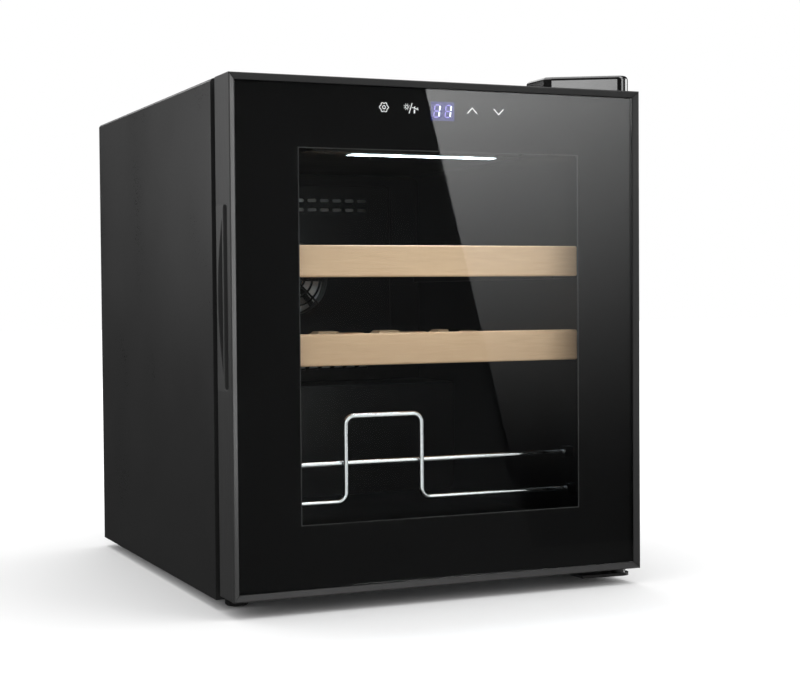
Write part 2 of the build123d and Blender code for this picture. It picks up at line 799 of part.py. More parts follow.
with BuildPart() as control_board:
    board_back = box_y_span[0] + 10.0 + 1.6
    block(
        (box_x_span[0] + 5, box_x_span[1] - 5),
        (board_back - 1.6, board_back),
        (box_z_span[0] + 6, box_z_span[1] - 6),
    )
    for x, z, wide, tall, proud in (
        (box_x_span[0] + 22, box_z_span[0] + 24, 22, 26, 20),
        (box_x_span[0] + 50, box_z_span[0] + 22, 16, 20, 14),
        (box_x_span[0] + 24, box_z_span[0] + 66, 14, 14, 12),
        (box_x_span[0] + 54, box_z_span[0] + 60, 12, 28, 9),
    ):
        block((x - wide / 2, x + wide / 2), (board_back, board_back + proud), (z - tall / 2, z + tall / 2))
control_board.part.label = "control_board"
export_step(control_board.part, "parts/control_board.step")

with BuildPart() as control_box_lid:
    block(box_x_span, (box_y_span[1] + 0.1, box_y_span[1] + 2.1), box_z_span)
    fillet(control_box_lid.edges().filter_by(Axis.Y), 4.0)
control_box_lid.part.label = "control_box_lid"
export_step(control_box_lid.part, "parts/control_box_lid.step")

# Rear cover: vented sheet over the compartment, with the hole of the cord gland.
cover_bottom = cabinet_bottom + 2.0
cover_top = panel_bottom - 0.6
gland_x = -compartment_half + 54.0
gland_z = cover_bottom + 26.0
gland_radius = 7.0
cover_screws = [
    (side * (half_width - shell_return / 2 - shell_sheet), z)
    for side in (-1, 1)
    for z in (cover_bottom + 16.0, cover_top - 16.0)
]
with BuildPart() as rear_cover:
    block((-panel_half, panel_half), (cabinet_back, panel_back), (cover_bottom, cover_top))
    fillet(rear_cover.edges().filter_by(Axis.Y), 3.0)
    fillet(rear_cover.faces().sort_by(Axis.Y)[-1].edges(), 1.0)
    block(
        (-panel_half + shell_return + 2, panel_half - shell_return - 2),
        (cabinet_back, panel_back - 1.2),
        (cover_bottom + 8, cover_top - 8),
        mode=Mode.SUBTRACT,
    )
    with BuildSketch(front_plane(cabinet_back)):
        with Locations((compressor_x, (cover_bottom + cover_top) / 2)):
            with GridLocations(11, 40, 19, 3):
                SlotOverall(32, 4.5, rotation=90)
        with Locations((-compartment_half + 100.0, (cover_bottom + cover_top) / 2 + 20)):
            with GridLocations(11, 40, 6, 2):
                SlotOverall(32, 4.5, rotation=90)
        with Locations((gland_x, gland_z)):
            Circle(gland_radius)
    extrude(amount=-back_panel_step, mode=Mode.SUBTRACT)
    for x, z in cover_screws:
        with Locations(Location((x, panel_back, z), (-90, 0, 0))):
            CounterBoreHole(screw_radius, screw_head + 0.2, screw_sink, depth=back_panel_step)
rear_cover.part.label = "rear_cover"
export_step(rear_cover.part, "parts/rear_cover.step")

# Cord gland: flanged bush in the rear cover, where a mains lead would enter.
with BuildPart() as cord_gland:
    with BuildSketch(front_plane(panel_back)):
        with Locations((gland_x, gland_z)):
            Circle(gland_radius - fit_clearance)
            Circle(4.0, mode=Mode.SUBTRACT)
    extrude(amount=12.0 - back_panel_step)
    with BuildSketch(front_plane(panel_back - 1.2)):
        with Locations((gland_x, gland_z)):
            Circle(gland_radius + 3.0)
            Circle(4.0, mode=Mode.SUBTRACT)
    extrude(amount=2.0)
cord_gland.part.label = "cord_gland"
export_step(cord_gland.part, "parts/cord_gland.step")

# ================================================================ feet
with BuildPart() as rear_feet:
    with BuildSketch(Plane.XY):
        with Locations((-foot_x, rear_foot_y), (foot_x, rear_foot_y)):
            Circle(rear_foot_radius)
    extrude(amount=foot_height)
    chamfer(rear_feet.edges().filter_by(GeomType.CIRCLE).group_by(Axis.Z)[0], 1.5)
rear_feet.part.label = "rear_feet"
export_step(rear_feet.part, "parts/rear_feet.step")

# Front feet: ribbed discs on threaded studs that screw into the base pan's nuts, one body each.
for side, name in ((-1, "left_foot"), (1, "right_foot")):
    with BuildPart() as levelling_foot:
        foot_place = (side * foot_x, front_foot_y)
        upright(*foot_place, (0, foot_height - seal_gap), front_foot_radius)
        chamfer(levelling_foot.edges().filter_by(GeomType.CIRCLE).group_by(Axis.Z)[0], 1.5)
        with Locations((*foot_place, foot_height / 2 + 1.0)):
            with PolarLocations(front_foot_radius, 18):
                Cylinder(0.7, foot_height, mode=Mode.SUBTRACT)
        upright(*foot_place, (foot_height - seal_gap, foot_height + stud_height), stud_radius)
    levelling_foot.part.label = name
    export_step(levelling_foot.part, f"parts/{name}.step")

# ================================================================ hinges
# The cover's plan: round over the pin, its front sweeping back to a narrow end over the cabinet.
cover_reach = 68.0              # from the pin to the cover's narrow end
cover_sweep = 46.0              # how far back the narrow end's front edge lies
cover_round = 11.0              # radius over the pin
cover_rear = cabinet_front + 32.0
cover_wall = 2.0
bracket_rear = cover_rear - 6.0
bracket_left = pin_x - cover_reach + 14.0
top_bracket_screws = [
    (pin_x - 6.0, cabinet_front + 14.0),
    (pin_x - 24.0, cabinet_front + 16.0),
    (pin_x - 42.0, cabinet_front + 18.0),
]
with BuildPart() as top_bracket:
    with BuildSketch(Plane.XY.offset(cabinet_top)):
        with BuildLine():
            Polyline(
                (bracket_left, bracket_rear),
                (pin_x + 8.0, bracket_rear),
                (pin_x + 8.0, pin_y),
                (pin_x - 8.0, pin_y),
                (pin_x - 14.0, cabinet_front + 4.0),
                (bracket_left, cabinet_front + 12.0),
                close=True,
            )
        make_face()
        with Locations((pin_x, pin_y)):
            Circle(8.0)
            Circle(pin_radius + pin_clearance, mode=Mode.SUBTRACT)
        with Locations(*top_bracket_screws):
            Circle(screw_radius + fit_clearance, mode=Mode.SUBTRACT)
    extrude(amount=bracket_sheet)
top_bracket.part.label = "top_hinge_bracket"
export_step(top_bracket.part, "parts/top_hinge_bracket.step")

pin_reach = 17.0                # length of the pin inside the door
with BuildPart() as hinge_pins:
    upright(pin_x, pin_y, (door_top - pin_reach, cabinet_top + bracket_sheet), pin_radius)
    upright(pin_x, pin_y, (cabinet_top + bracket_sheet, cabinet_top + bracket_sheet + 2.5), 6.5)
    upright(pin_x, pin_y, (cabinet_bottom - bracket_sheet, door_bottom + pin_reach), pin_radius)
    upright(pin_x, pin_y, (cabinet_bottom, door_bottom - seal_gap), bush_radius - pin_clearance)
    pin_tips = (door_top - pin_reach, door_bottom + pin_reach)
    tip_edges = [
        edge for edge in hinge_pins.edges().filter_by(GeomType.CIRCLE)
        if edge.center().Z in pin_tips
    ]
    chamfer(tip_edges, 0.8)
hinge_pins.part.label = "hinge_pins"
export_step(hinge_pins.part, "parts/hinge_pins.step")

with BuildPart() as top_cover:
    with BuildSketch(Plane.XY.offset(cabinet_top)) as cover_plan:
        with BuildLine():
            Polyline(
                (pin_x + cover_round, pin_y),
                (pin_x + cover_round, cover_rear),
                (pin_x - cover_reach, cover_rear),
                (pin_x - cover_reach, door_front + cover_sweep + 4.0),
                (pin_x - cover_reach + 6.0, door_front + cover_sweep - 1.5),
                (pin_x, pin_y),
                close=True,
            )
        make_face()
        with Locations((pin_x, pin_y)):
            Circle(cover_round)
        with BuildLine():
            sweep_angle = 30.0
            edge_x = pin_x - cover_round * sin(sweep_angle * pi / 180)
            edge_y = pin_y - cover_round * cos(sweep_angle * pi / 180)
            Polyline(
                (pin_x, pin_y),
                (edge_x, edge_y),
                (pin_x - cover_reach + 6.0, door_front + cover_sweep - 1.5),
                close=True,
            )
        make_face()
    extrude(amount=hinge_cover_height)
    top_face = top_cover.faces().sort_by(Axis.Z)[-1]
    fillet(top_face.edges(), 4.0)
    with BuildSketch(Plane.XY.offset(cabinet_top)):
        offset(cover_plan.sketch, amount=-cover_wall)
    extrude(amount=hinge_cover_height - cover_wall - 2.5, mode=Mode.SUBTRACT)
top_cover.part.label = "hinge_cover"
export_step(top_cover.part, "parts/hinge_cover.step")

bottom_bracket_left = pin_x - 46.0
bottom_screws = [(pin_x - 6.0, cabinet_front + 44.0), (pin_x - 36.0, cabinet_front + 10.0)]
with BuildPart() as bottom_bracket:
    with BuildSketch(Plane.XY.offset(cabinet_bottom - bracket_sheet)):
        with BuildLine():
            Polyline(
                (bottom_bracket_left, cabinet_front + 52.0),
                (pin_x + 8.0, cabinet_front + 52.0),
                (pin_x + 8.0, pin_y),
                (pin_x, pin_y - 10.0),
                (bottom_bracket_left, pin_y - 7.0),
                close=True,
            )
        make_face()
        with Locations((pin_x, pin_y)):
            Circle(10.0)
            Circle(pin_radius, mode=Mode.SUBTRACT)
        with Locations((foot_x, front_foot_y)):
            Circle(front_foot_radius + 3.0, mode=Mode.SUBTRACT)
        with Locations(*bottom_screws):
            Circle(screw_radius + fit_clearance, mode=Mode.SUBTRACT)
    extrude(amount=bracket_sheet)
bottom_bracket.part.label = "bottom_hinge_bracket"
export_step(bottom_bracket.part, "parts/bottom_hinge_bracket.step")

# Screws: one size for the hinge brackets and for the sheets on the back.
with BuildPart() as cabinet_screws:
    screw_seats = [(place, cabinet_top + bracket_sheet, 1) for place in top_bracket_screws]
    screw_seats += [(place, cabinet_bottom - bracket_sheet, -1) for place in bottom_screws]
    for (x, y), seat, up in screw_seats:
        upright(x, y, sorted((seat, seat + up * 1.8)), screw_head)
        upright(x, y, sorted((seat, seat - up * bracket_sheet)), screw_radius)
        upright(x, y, sorted((seat + up * 0.9, seat + up * 1.8)), 1.4, mode=Mode.SUBTRACT)
    for x, z in panel_screws + cover_screws:
        with BuildSketch(front_plane(panel_back)):
            with Locations((x, z)):
                Circle(screw_head)
        extrude(amount=screw_sink)
        with BuildSketch(front_plane(panel_back - screw_sink)):
            with Locations((x, z)):
                Circle(screw_radius - 0.1)
        extrude(amount=back_panel_step - screw_sink)
cabinet_screws.part.label = "cabinet_screws"
export_step(cabinet_screws.part, "parts/cabinet_screws.step")

# ================================================================ door frame
display_z = door_top - control_drop
display_spans = (
    (-display_width / 2, display_width / 2),
    (display_z - display_height / 2, display_z + display_height / 2),
)
board_length = key_pitch * key_count + 12.0
grip_front = spacer_front + grip_wall + glass_clearance
grip_low = handle_centre - handle_length / 2
grip_high = handle_centre + handle_length / 2
grip_pocket = (
    (-half_width, -half_width + grip_depth + grip_wall + fit_clearance),
    (grip_front - grip_wall, plate_front),
    (grip_low - grip_wall, grip_high + grip_wall),
)
board_pocket = (
    (-board_length / 2 - 2, board_length / 2 + 2),
    (border_front, spacer_front + 9.0),
    (display_z - touch_board_height / 2 - 1, display_z + touch_board_height / 2 + 1),
)
with BuildPart() as door_frame:
    door_ring(0, bar_width, (door_front, plate_front))
    fillet(door_frame.faces().sort_by(Axis.Y)[0].outer_wire().edges(), bezel_round)
    with BuildSketch(front_plane(door_front)):
        rectangle(*door_spans(bezel_round + 0.4))
    with BuildSketch(front_plane(glass_front)):
        rectangle(*door_spans(bezel_width))
    loft(mode=Mode.SUBTRACT)
    door_ring(bezel_width, bar_width + 1.0, (door_front, spacer_front), mode=Mode.SUBTRACT)
    door_ring(
        bar_wall, bar_width - bar_wall, (spacer_front + bar_wall, plate_front - bar_wall),
        mode=Mode.SUBTRACT,
    )
    for z_span in ((door_bottom, door_bottom + bush_length), (door_top - bush_length, door_top)):
        upright(pin_x, pin_y, z_span, bush_radius, mode=Mode.SUBTRACT)
    block(*grip_pocket, mode=Mode.SUBTRACT)
    block(*board_pocket, mode=Mode.SUBTRACT)

(door_left, door_right), _ = door_spans(0)
reach = overall_width / 2 - 1.0
mitre_wedges = {
    "door_frame_top": (
        (door_left + mitre_gap, door_top), (door_right - mitre_gap, door_top),
        (door_right - mitre_gap - reach, door_top - reach),
        (door_left + mitre_gap + reach, door_top - reach),
    ),
    "door_frame_bottom": (
        (door_left + mitre_gap, door_bottom), (door_right - mitre_gap, door_bottom),
        (door_right - mitre_gap - reach, door_bottom + reach),
        (door_left + mitre_gap + reach, door_bottom + reach),
    ),
    "door_frame_left": (
        (door_left, door_bottom + mitre_gap), (door_left, door_top - mitre_gap),
        (door_left + reach, door_top - mitre_gap - reach),
        (door_left + reach, door_bottom + mitre_gap + reach),
    ),
    "door_frame_right": (
        (door_right, door_bottom + mitre_gap), (door_right, door_top - mitre_gap),
        (door_right - reach, door_top - mitre_gap - reach),
        (door_right - reach, door_bottom + mitre_gap + reach),
    ),
}
for name, corners in mitre_wedges.items():
    with BuildPart() as door_bar:
        add(door_frame.part)
        with BuildSketch(front_plane(door_front)):
            with BuildLine():
                Polyline(*corners, close=True)
            make_face()
        extrude(amount=-door_thickness, mode=Mode.INTERSECT)
    door_bar.part.label = name
    export_step(door_bar.part, f"parts/{name}.step")

# Corner keys: solid angles pushed into the hollow bars, the two on the hinge side bored for bushes.
key_leg = 44.0
key_in = bar_wall + fit_clearance
key_width = bar_width - 2 * key_in
key_y_span = (spacer_front + key_in, plate_front - key_in)
with BuildPart() as corner_keys:
    (key_left, key_right), (key_low, key_high) = door_spans(key_in)
    for x, into_x in ((key_left, 1), (key_right, -1)):
        for z, into_z in ((key_low, 1), (key_high, -1)):
            wide, leg_x = sorted((x, x + into_x * key_width)), sorted((x, x + into_x * key_leg))
            tall, leg_z = sorted((z, z + into_z * key_width)), sorted((z, z + into_z * key_leg))
            block(wide, key_y_span, leg_z)
            block(leg_x, key_y_span, tall)
    upright(pin_x, pin_y, (door_bottom, door_top), bush_radius, mode=Mode.SUBTRACT)
corner_keys.part.label = "corner_keys"
export_step(corner_keys.part, "parts/corner_keys.step")

with BuildPart() as hinge_bushes:
    for z_span in ((door_bottom, door_bottom + bush_length), (door_top - bush_length, door_top)):
        upright(pin_x, pin_y, z_span, bush_radius)
    for z_span in (
        (door_bottom, door_bottom + bush_length - 3.0), (door_top - bush_length + 3.0, door_top)
    ):
        upright(pin_x, pin_y, z_span, bush_bore, mode=Mode.SUBTRACT)
hinge_bushes.part.label = "hinge_bushes"
export_step(hinge_bushes.part, "parts/hinge_bushes.step")

# Grip: moulded insert in the free edge, a straight slot in front and a bowed finger scoop behind a fin.
scoop_front = grip_front + slot_width + fin_width
scoop_low = handle_centre - scoop_length / 2
scoop_high = handle_centre + scoop_length / 2
grip_x_span = (-half_width, -half_width + grip_depth + grip_wall)
with BuildPart() as door_grip:
    block(
        grip_x_span,
        (grip_front - grip_wall + 0.05, plate_front - 0.05),
        (grip_low - grip_wall + 0.05, grip_high + grip_wall - 0.05),
    )
    with BuildSketch(side_plane(-half_width)):
        slot_middle = grip_front + slot_width / 2
        with Locations((slot_middle, handle_centre)):
            RectangleRounded(slot_width, handle_length, 3.0)
        with BuildLine():
            Line((scoop_front, scoop_low), (scoop_front, scoop_high))
            ThreePointArc(
                (scoop_front, scoop_high),
                (scoop_front + scoop_width - grip_wall, handle_centre),
                (scoop_front, scoop_low),
            )
        make_face()
    extrude(amount=grip_depth, mode=Mode.SUBTRACT)
    fillet(door_grip.faces().sort_by(Axis.X)[0].inner_wires().edges(), 0.6)
door_grip.part.label = "door_grip"
export_step(door_grip.part, "parts/door_grip.step")

# ================================================================ glass
with BuildPart() as front_glass:
    glass_spans = door_spans(bezel_width + glass_clearance)
    block(glass_spans[0], (glass_front, border_front), glass_spans[1])
front_glass.part.label = "front_glass"
export_step(front_glass.part, "parts/front_glass.step")

with BuildPart() as printed_border:
    block(glass_spans[0], (border_front, spacer_front), glass_spans[1])
    through_print = (border_front - 1, spacer_front + 1)
    window = (door_spans(window_side_inset)[0], door_spans(window_end_inset)[1])
    for opening in (window, display_spans):
        block(opening[0], through_print, opening[1], mode=Mode.SUBTRACT)
printed_border.part.label = "printed_border"
export_step(printed_border.part, "parts/printed_border.step")

spacer_inset = inner_rim_inset + 5.0
with BuildPart() as spacer_bar:
    door_ring(spacer_inset, spacer_inset + 8.0, (spacer_front, inner_glass_front))
    door_ring(
        spacer_inset + 0.8, spacer_inset + 7.2, (spacer_front + 0.8, inner_glass_front - 0.8),
        mode=Mode.SUBTRACT,
    )
spacer_bar.part.label = "spacer_bar"
export_step(spacer_bar.part, "parts/spacer_bar.step")

with BuildPart() as inner_glass:
    pane_spans = door_spans(inner_rim_inset - 4.0)
    block(pane_spans[0], (inner_glass_front, inner_glass_back), pane_spans[1])
inner_glass.part.label = "inner_glass"
export_step(inner_glass.part, "parts/inner_glass.step")

# Inner frame: back plate of the door, a rim that holds the inner glass and a groove for the gasket.
groove_inset = gasket_inset + gasket_width / 2 - 2.0
groove_width = 4.0
groove_depth = 2.5
with BuildPart() as inner_frame:
    door_ring(1.0, inner_rim_inset, (plate_front, door_back))
    fillet(inner_frame.faces().sort_by(Axis.Y)[-1].edges(), 1.0)
    door_ring(inner_rim_inset - 3.0, inner_rim_inset, (inner_glass_back, door_back - 1.5))
    door_ring(bar_width, bar_width + 2.0, (inner_glass_front, plate_front + 0.5))
    door_ring(
        groove_inset, groove_inset + groove_width, (door_back - groove_depth, door_back + 1),
        mode=Mode.SUBTRACT,
    )
inner_frame.part.label = "inner_frame"
export_step(inner_frame.part, "parts/inner_frame.step")

# Gasket: hollow vinyl strip pressed into the groove, with magnets in its front chamber.
gasket_back = cabinet_front - seal_gap
magnet_depth = 2.6
magnet_inset = gasket_inset + gasket_wall + 4.0
magnet_width = gasket_width - 2 * gasket_wall - 8.0
with BuildPart() as door_gasket:
    door_ring(gasket_inset, gasket_inset + gasket_width, (door_back, gasket_back))
    door_ring(
        gasket_inset + gasket_wall, gasket_inset + gasket_width - gasket_wall,
        (door_back + gasket_wall, gasket_back - gasket_wall), mode=Mode.SUBTRACT,
    )
    door_ring(groove_inset + 0.1, groove_inset + groove_width - 0.1, (door_back - 2.2, door_back))
door_gasket.part.label = "door_gasket"
export_step(door_gasket.part, "parts/door_gasket.step")

magnet_y_span = (gasket_back - gasket_wall - magnet_depth, gasket_back - gasket_wall)
with BuildPart() as magnet_strips:
    door_ring(magnet_inset, magnet_inset + magnet_width, magnet_y_span)
    (corner_left, corner_right), (corner_low, corner_high) = door_spans(magnet_inset + magnet_width / 2)
    for x in (corner_left, corner_right):
        for z in (corner_low, corner_high):
            size = magnet_width + 4.0
            block(
                (x - size / 2, x + size / 2), magnet_y_span, (z - size / 2, z + size / 2),
                mode=Mode.SUBTRACT,
            )
magnet_strips.part.label = "magnet_strips"
export_step(magnet_strips.part, "parts/magnet_strips.step")

# ================================================================ controls behind the glass
with BuildPart() as touch_board:
    block(
        (-board_length / 2, board_length / 2),
        (spacer_front + 1.2, spacer_front + 2.8),
        (display_z - touch_board_height / 2, display_z + touch_board_height / 2),
    )
    block(
        display_spans[0], (spacer_front + 1.0, spacer_front + 3.0), display_spans[1],
        mode=Mode.SUBTRACT,
    )
    with BuildSketch(front_plane(spacer_front + 0.1)):
        with Locations((0, display_z)):
            for key in (-2, -1, 1, 2):
                with Locations((key * key_pitch, 0)):
                    Circle(6.0)
    extrude(amount=-1.1)
touch_board.part.label = "touch_board"
export_step(touch_board.part, "parts/touch_board.step")

with BuildPart() as display_module:
    (display_left, display_right), (display_low, display_high) = display_spans
    block(
        (display_left + fit_clearance, display_right - fit_clearance),
        (border_front + 0.1, spacer_front + 7.0),
        (display_low + fit_clearance, display_high - fit_clearance),
    )
display_module.part.label = "display_module"
export_step(display_module.part, "parts/display_module.step")

# ================================================================ shelves
slat_span = (shelf_front + board_thickness + 30.0, shelf_rear - slat_width - 12.0)
slat_step = (slat_span[1] - slat_span[0]) / (slat_count - 1)
cradle_pitch = 2 * rail_inner / bottles_across
board_edge = 2.0
for shelf, level in enumerate(shelf_levels):
    height = ("lower", "upper")[shelf] if shelf_count == 2 else f"level_{shelf + 1}"
    rail_low = level + rail_rise
    rail_high = rail_low + rail_height

    with BuildPart() as front_board:
        block(
            (-rail_outer, rail_outer),
            (shelf_front, shelf_front + board_thickness),
            (level, level + board_height),
        )
        fillet(front_board.edges(), board_edge)
    front_board.part.label = f"{height}_shelf_front_board"
    export_step(front_board.part, f"parts/{height}_shelf_front_board.step")

    with BuildPart() as side_rails:
        for side in (-1, 1):
            rail = sorted((side * rail_inner, side * rail_outer))
            block(rail, (shelf_front + board_thickness, shelf_rear), (rail_low, rail_high))
        fillet(side_rails.edges().filter_by(Axis.Y), 1.5)
    side_rails.part.label = f"{height}_shelf_side_rails"
    export_step(side_rails.part, f"parts/{height}_shelf_side_rails.step")

    with BuildPart() as slats:
        for slat in range(slat_count):
            y = slat_span[0] + slat * slat_step
            block((-rail_inner, rail_inner), (y, y + slat_width), (rail_low, level + board_height - 4))
        fillet(slats.edges().filter_by(Axis.X), 1.2)
        cradle_centre = level + board_height - 4 - cradle_depth + cradle_radius
        with BuildSketch(front_plane(shelf_front)):
            for bottle in range(bottles_across):
                x = -rail_inner + (bottle + 0.5) * cradle_pitch
                with Locations((x, cradle_centre)):
                    Circle(cradle_radius)
        extrude(amount=-shelf_depth, mode=Mode.SUBTRACT)
    slats.part.label = f"{height}_shelf_slats"
    export_step(slats.part, f"parts/{height}_shelf_slats.step")

# ================================================================ wire rack
# One chromed wire runs from wall to wall and rises in a loop; a straight rail is welded behind it.
rack_y = cabinet_front + rack_setback
rack_right = rack_loop_left + rack_loop_width
rack_end = cabin_half - 3.0
with BuildPart() as wire_rack:
    with BuildLine(front_plane(rack_y)):
        rack_path = FilletPolyline(
            (-rack_end, rack_low_rail),
            (rack_loop_left, rack_low_rail),
            (rack_loop_left, rack_loop_top),
            (rack_right, rack_loop_top),
            (rack_right, rack_low_rail),
            (rack_end, rack_low_rail),
            radius=rack_bend,
        )
    with BuildSketch(Plane(origin=rack_path @ 0, z_dir=rack_path % 0)):
        Circle(wire_radius)
    sweep()
    rail_y = rack_y + 2 * wire_radius - 0.4
    with Locations(Location((0, rail_y, rack_high_rail), (0, 90, 0))):
        Cylinder(wire_radius, 2 * rack_end)
wire_rack.part.label = "wire_rack"
export_step(wire_rack.part, "parts/wire_rack.step")

with BuildPart() as rack_clips:
    clip_length = 9.0
    for side in (-1, 1):
        clip_x = sorted((side * cabin_half, side * (cabin_half - clip_length)))
        for y, z in ((rack_y, rack_low_rail), (rail_y, rack_high_rail)):
            block(clip_x, (y - 5.5, y + 5.5), (z - 5.5, z + 5.5))
    fillet(rack_clips.edges().filter_by(Axis.X), 2.0)
    for y, z in ((rack_y, rack_low_rail), (rail_y, rack_high_rail)):
        with Locations(Location((0, y, z), (0, 90, 0))):
            Cylinder(wire_radius, 2 * rack_end, mode=Mode.SUBTRACT)
rack_clips.part.label = "rack_clips"
export_step(rack_clips.part, "parts/rack_clips.step")
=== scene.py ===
# %% [markdown]
# A wine cooler: looks for a model whose shapes are already fixed.
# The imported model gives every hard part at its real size. This lesson adds what a drawing of the
# parts can't show: paint with a fine texture, glass, the grain of beech, the light of the lamp, and
# small pieces such as printed symbols and screw heads. Every length is in metres.

# %% Load the frame
import json
from math import cos, pi, radians, sin

import bmesh
import bpy
from mathutils import Matrix, Vector


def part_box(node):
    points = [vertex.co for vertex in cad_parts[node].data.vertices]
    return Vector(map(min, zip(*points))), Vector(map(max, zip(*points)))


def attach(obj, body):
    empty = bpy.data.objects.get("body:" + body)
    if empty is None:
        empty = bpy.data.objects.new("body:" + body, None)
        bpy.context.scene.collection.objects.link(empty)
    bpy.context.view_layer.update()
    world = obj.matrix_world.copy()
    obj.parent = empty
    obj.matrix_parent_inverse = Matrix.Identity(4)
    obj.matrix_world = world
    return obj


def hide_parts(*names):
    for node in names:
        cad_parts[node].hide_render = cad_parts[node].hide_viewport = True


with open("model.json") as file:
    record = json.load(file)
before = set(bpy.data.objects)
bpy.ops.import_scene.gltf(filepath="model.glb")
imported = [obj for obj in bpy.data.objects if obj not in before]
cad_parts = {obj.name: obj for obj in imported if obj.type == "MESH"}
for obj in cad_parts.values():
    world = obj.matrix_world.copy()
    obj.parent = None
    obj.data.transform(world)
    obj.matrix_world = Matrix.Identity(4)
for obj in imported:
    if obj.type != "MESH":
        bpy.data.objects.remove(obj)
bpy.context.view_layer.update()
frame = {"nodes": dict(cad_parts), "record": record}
nodes = frame["nodes"]
scene = bpy.context.scene
scene.view_settings.view_transform = "Standard"


# %% [markdown]
# Places come from the parts themselves. A named part's box gives the planes that new pieces lie on,
# so nothing has to be fitted by eye and nothing drifts when the model is packed again.

# %% Planes and lengths read from the parts
MM = 0.001
glass_low, glass_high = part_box("front_glass")
print_low, print_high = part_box("printed_border")
display_low, display_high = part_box("display_module")
print("glass from", round(glass_low.y, 4), "to", round(glass_high.y, 4))


# %% [markdown]
# The camera is a long lens a little over a metre and a half away, left of the cooler and at half its height.
# Its turn is built from three plain rotations: swing to the right, tilt, and a slight roll.

# %% Camera
LENS_LENGTH = 70.8705
LENS_SHIFT = 0.0625
CAMERA_PLACE = (-0.6631, -1.5803, 0.2933)
camera_data = bpy.data.cameras.new("view")
camera_data.sensor_width = 36.0
camera_data.lens = LENS_LENGTH
camera_data.shift_x = LENS_SHIFT
camera_data.clip_end = 60
camera = bpy.data.objects.new("view", camera_data)
scene.collection.objects.link(camera)
swing, tilt, roll = radians(-22.8), radians(90 - 1.8), radians(-0.5)
camera.matrix_world = (
    Matrix.Translation(CAMERA_PLACE)
    @ Matrix.Rotation(swing, 4, "Z")
    @ Matrix.Rotation(tilt, 4, "X")
    @ Matrix.Rotation(roll, 4, "Z")
)
scene.camera = camera
print("lens", round(camera_data.lens, 1), "mm")


# %% [markdown]
# Node groups are small machines with named inputs and outputs. A finish that several materials share,
# such as the fine texture of powder paint, is one group, and each material sets its own values on it.
# These helpers make a group, add a node, and join sockets by name.

# %% Helpers for node trees
def add_node(tree, kind, **settings):
    """Add a node, with its settings, to a shader or geometry tree."""
    node = tree.nodes.new(kind)
    for name, value in settings.items():
        setattr(node, name, value)
    return node


def new_group(name, kind, inputs, outputs):
    """A node group whose sockets are (name, socket type, default) and (name, socket type)."""
    tree = bpy.data.node_groups.new(name, kind)
    for label, socket, default in inputs:
        item = tree.interface.new_socket(label, in_out="INPUT", socket_type=socket)
        if default is not None:
            item.default_value = default
    for label, socket in outputs:
        tree.interface.new_socket(label, in_out="OUTPUT", socket_type=socket)
    return tree, add_node(tree, "NodeGroupInput"), add_node(tree, "NodeGroupOutput")


def noise(tree, vector, scale, detail=2.0, rough=0.5):
    """A noise texture that reads the given coordinates."""
    node = add_node(tree, "ShaderNodeTexNoise")
    node.inputs["Detail"].default_value = detail
    node.inputs["Roughness"].default_value = rough
    tree.links.new(vector, node.inputs["Vector"])
    if isinstance(scale, (int, float)):
        node.inputs["Scale"].default_value = scale
    else:
        tree.links.new(scale, node.inputs["Scale"])
    return node.outputs["Fac"]


def spread(tree, value, low, high, out_low, out_high):
    """Map a value from one range to another, held inside it. A bound may be a number or a socket."""
    node = add_node(tree, "ShaderNodeMapRange")
    tree.links.new(value, node.inputs["Value"])
    for label, bound in (
        ("From Min", low), ("From Max", high), ("To Min", out_low), ("To Max", out_high)
    ):
        if isinstance(bound, (int, float)):
            node.inputs[label].default_value = bound
        else:
            tree.links.new(bound, node.inputs[label])
    return node.outputs["Result"]


def blend_colors(tree, factor, first, second, mode="MIX"):
    """Mix two colours. Each may be a socket or a fixed colour."""
    node = add_node(tree, "ShaderNodeMix", data_type="RGBA", blend_type=mode)
    if isinstance(factor, (int, float)):
        node.inputs["Factor"].default_value = factor
    else:
        tree.links.new(factor, node.inputs["Factor"])
    for socket, color in ((node.inputs[6], first), (node.inputs[7], second)):
        if isinstance(color, tuple):
            socket.default_value = color
        else:
            tree.links.new(color, socket)
    return node.outputs[2]


def reckon(tree, operation, first, second=0.0):
    """One step of arithmetic on sockets or numbers."""
    node = add_node(tree, "ShaderNodeMath", operation=operation)
    for socket, value in zip(node.inputs, (first, second)):
        if isinstance(value, (int, float)):
            socket.default_value = value
        else:
            tree.links.new(value, socket)
    return node.outputs["Value"]


FINISH_INPUTS = [
    ("Vector", "NodeSocketVector", None),
    ("Scale", "NodeSocketFloat", 500.0),
    ("Dark", "NodeSocketColor", (0.02, 0.02, 0.02, 1)),
    ("Light", "NodeSocketColor", (0.03, 0.03, 0.03, 1)),
    ("Smooth", "NodeSocketFloat", 0.35),
    ("Rough", "NodeSocketFloat", 0.5),
]
FINISH_OUTPUTS = [
    ("Color", "NodeSocketColor"), ("Roughness", "NodeSocketFloat"), ("Height", "NodeSocketFloat")
]


# %% [markdown]
# Powder paint and moulded plastic both have a fine pebbled skin. One octave of noise makes the
# pebbles, a much larger one makes the faint clouds that a hand or a cloth leaves on a dark sheet.

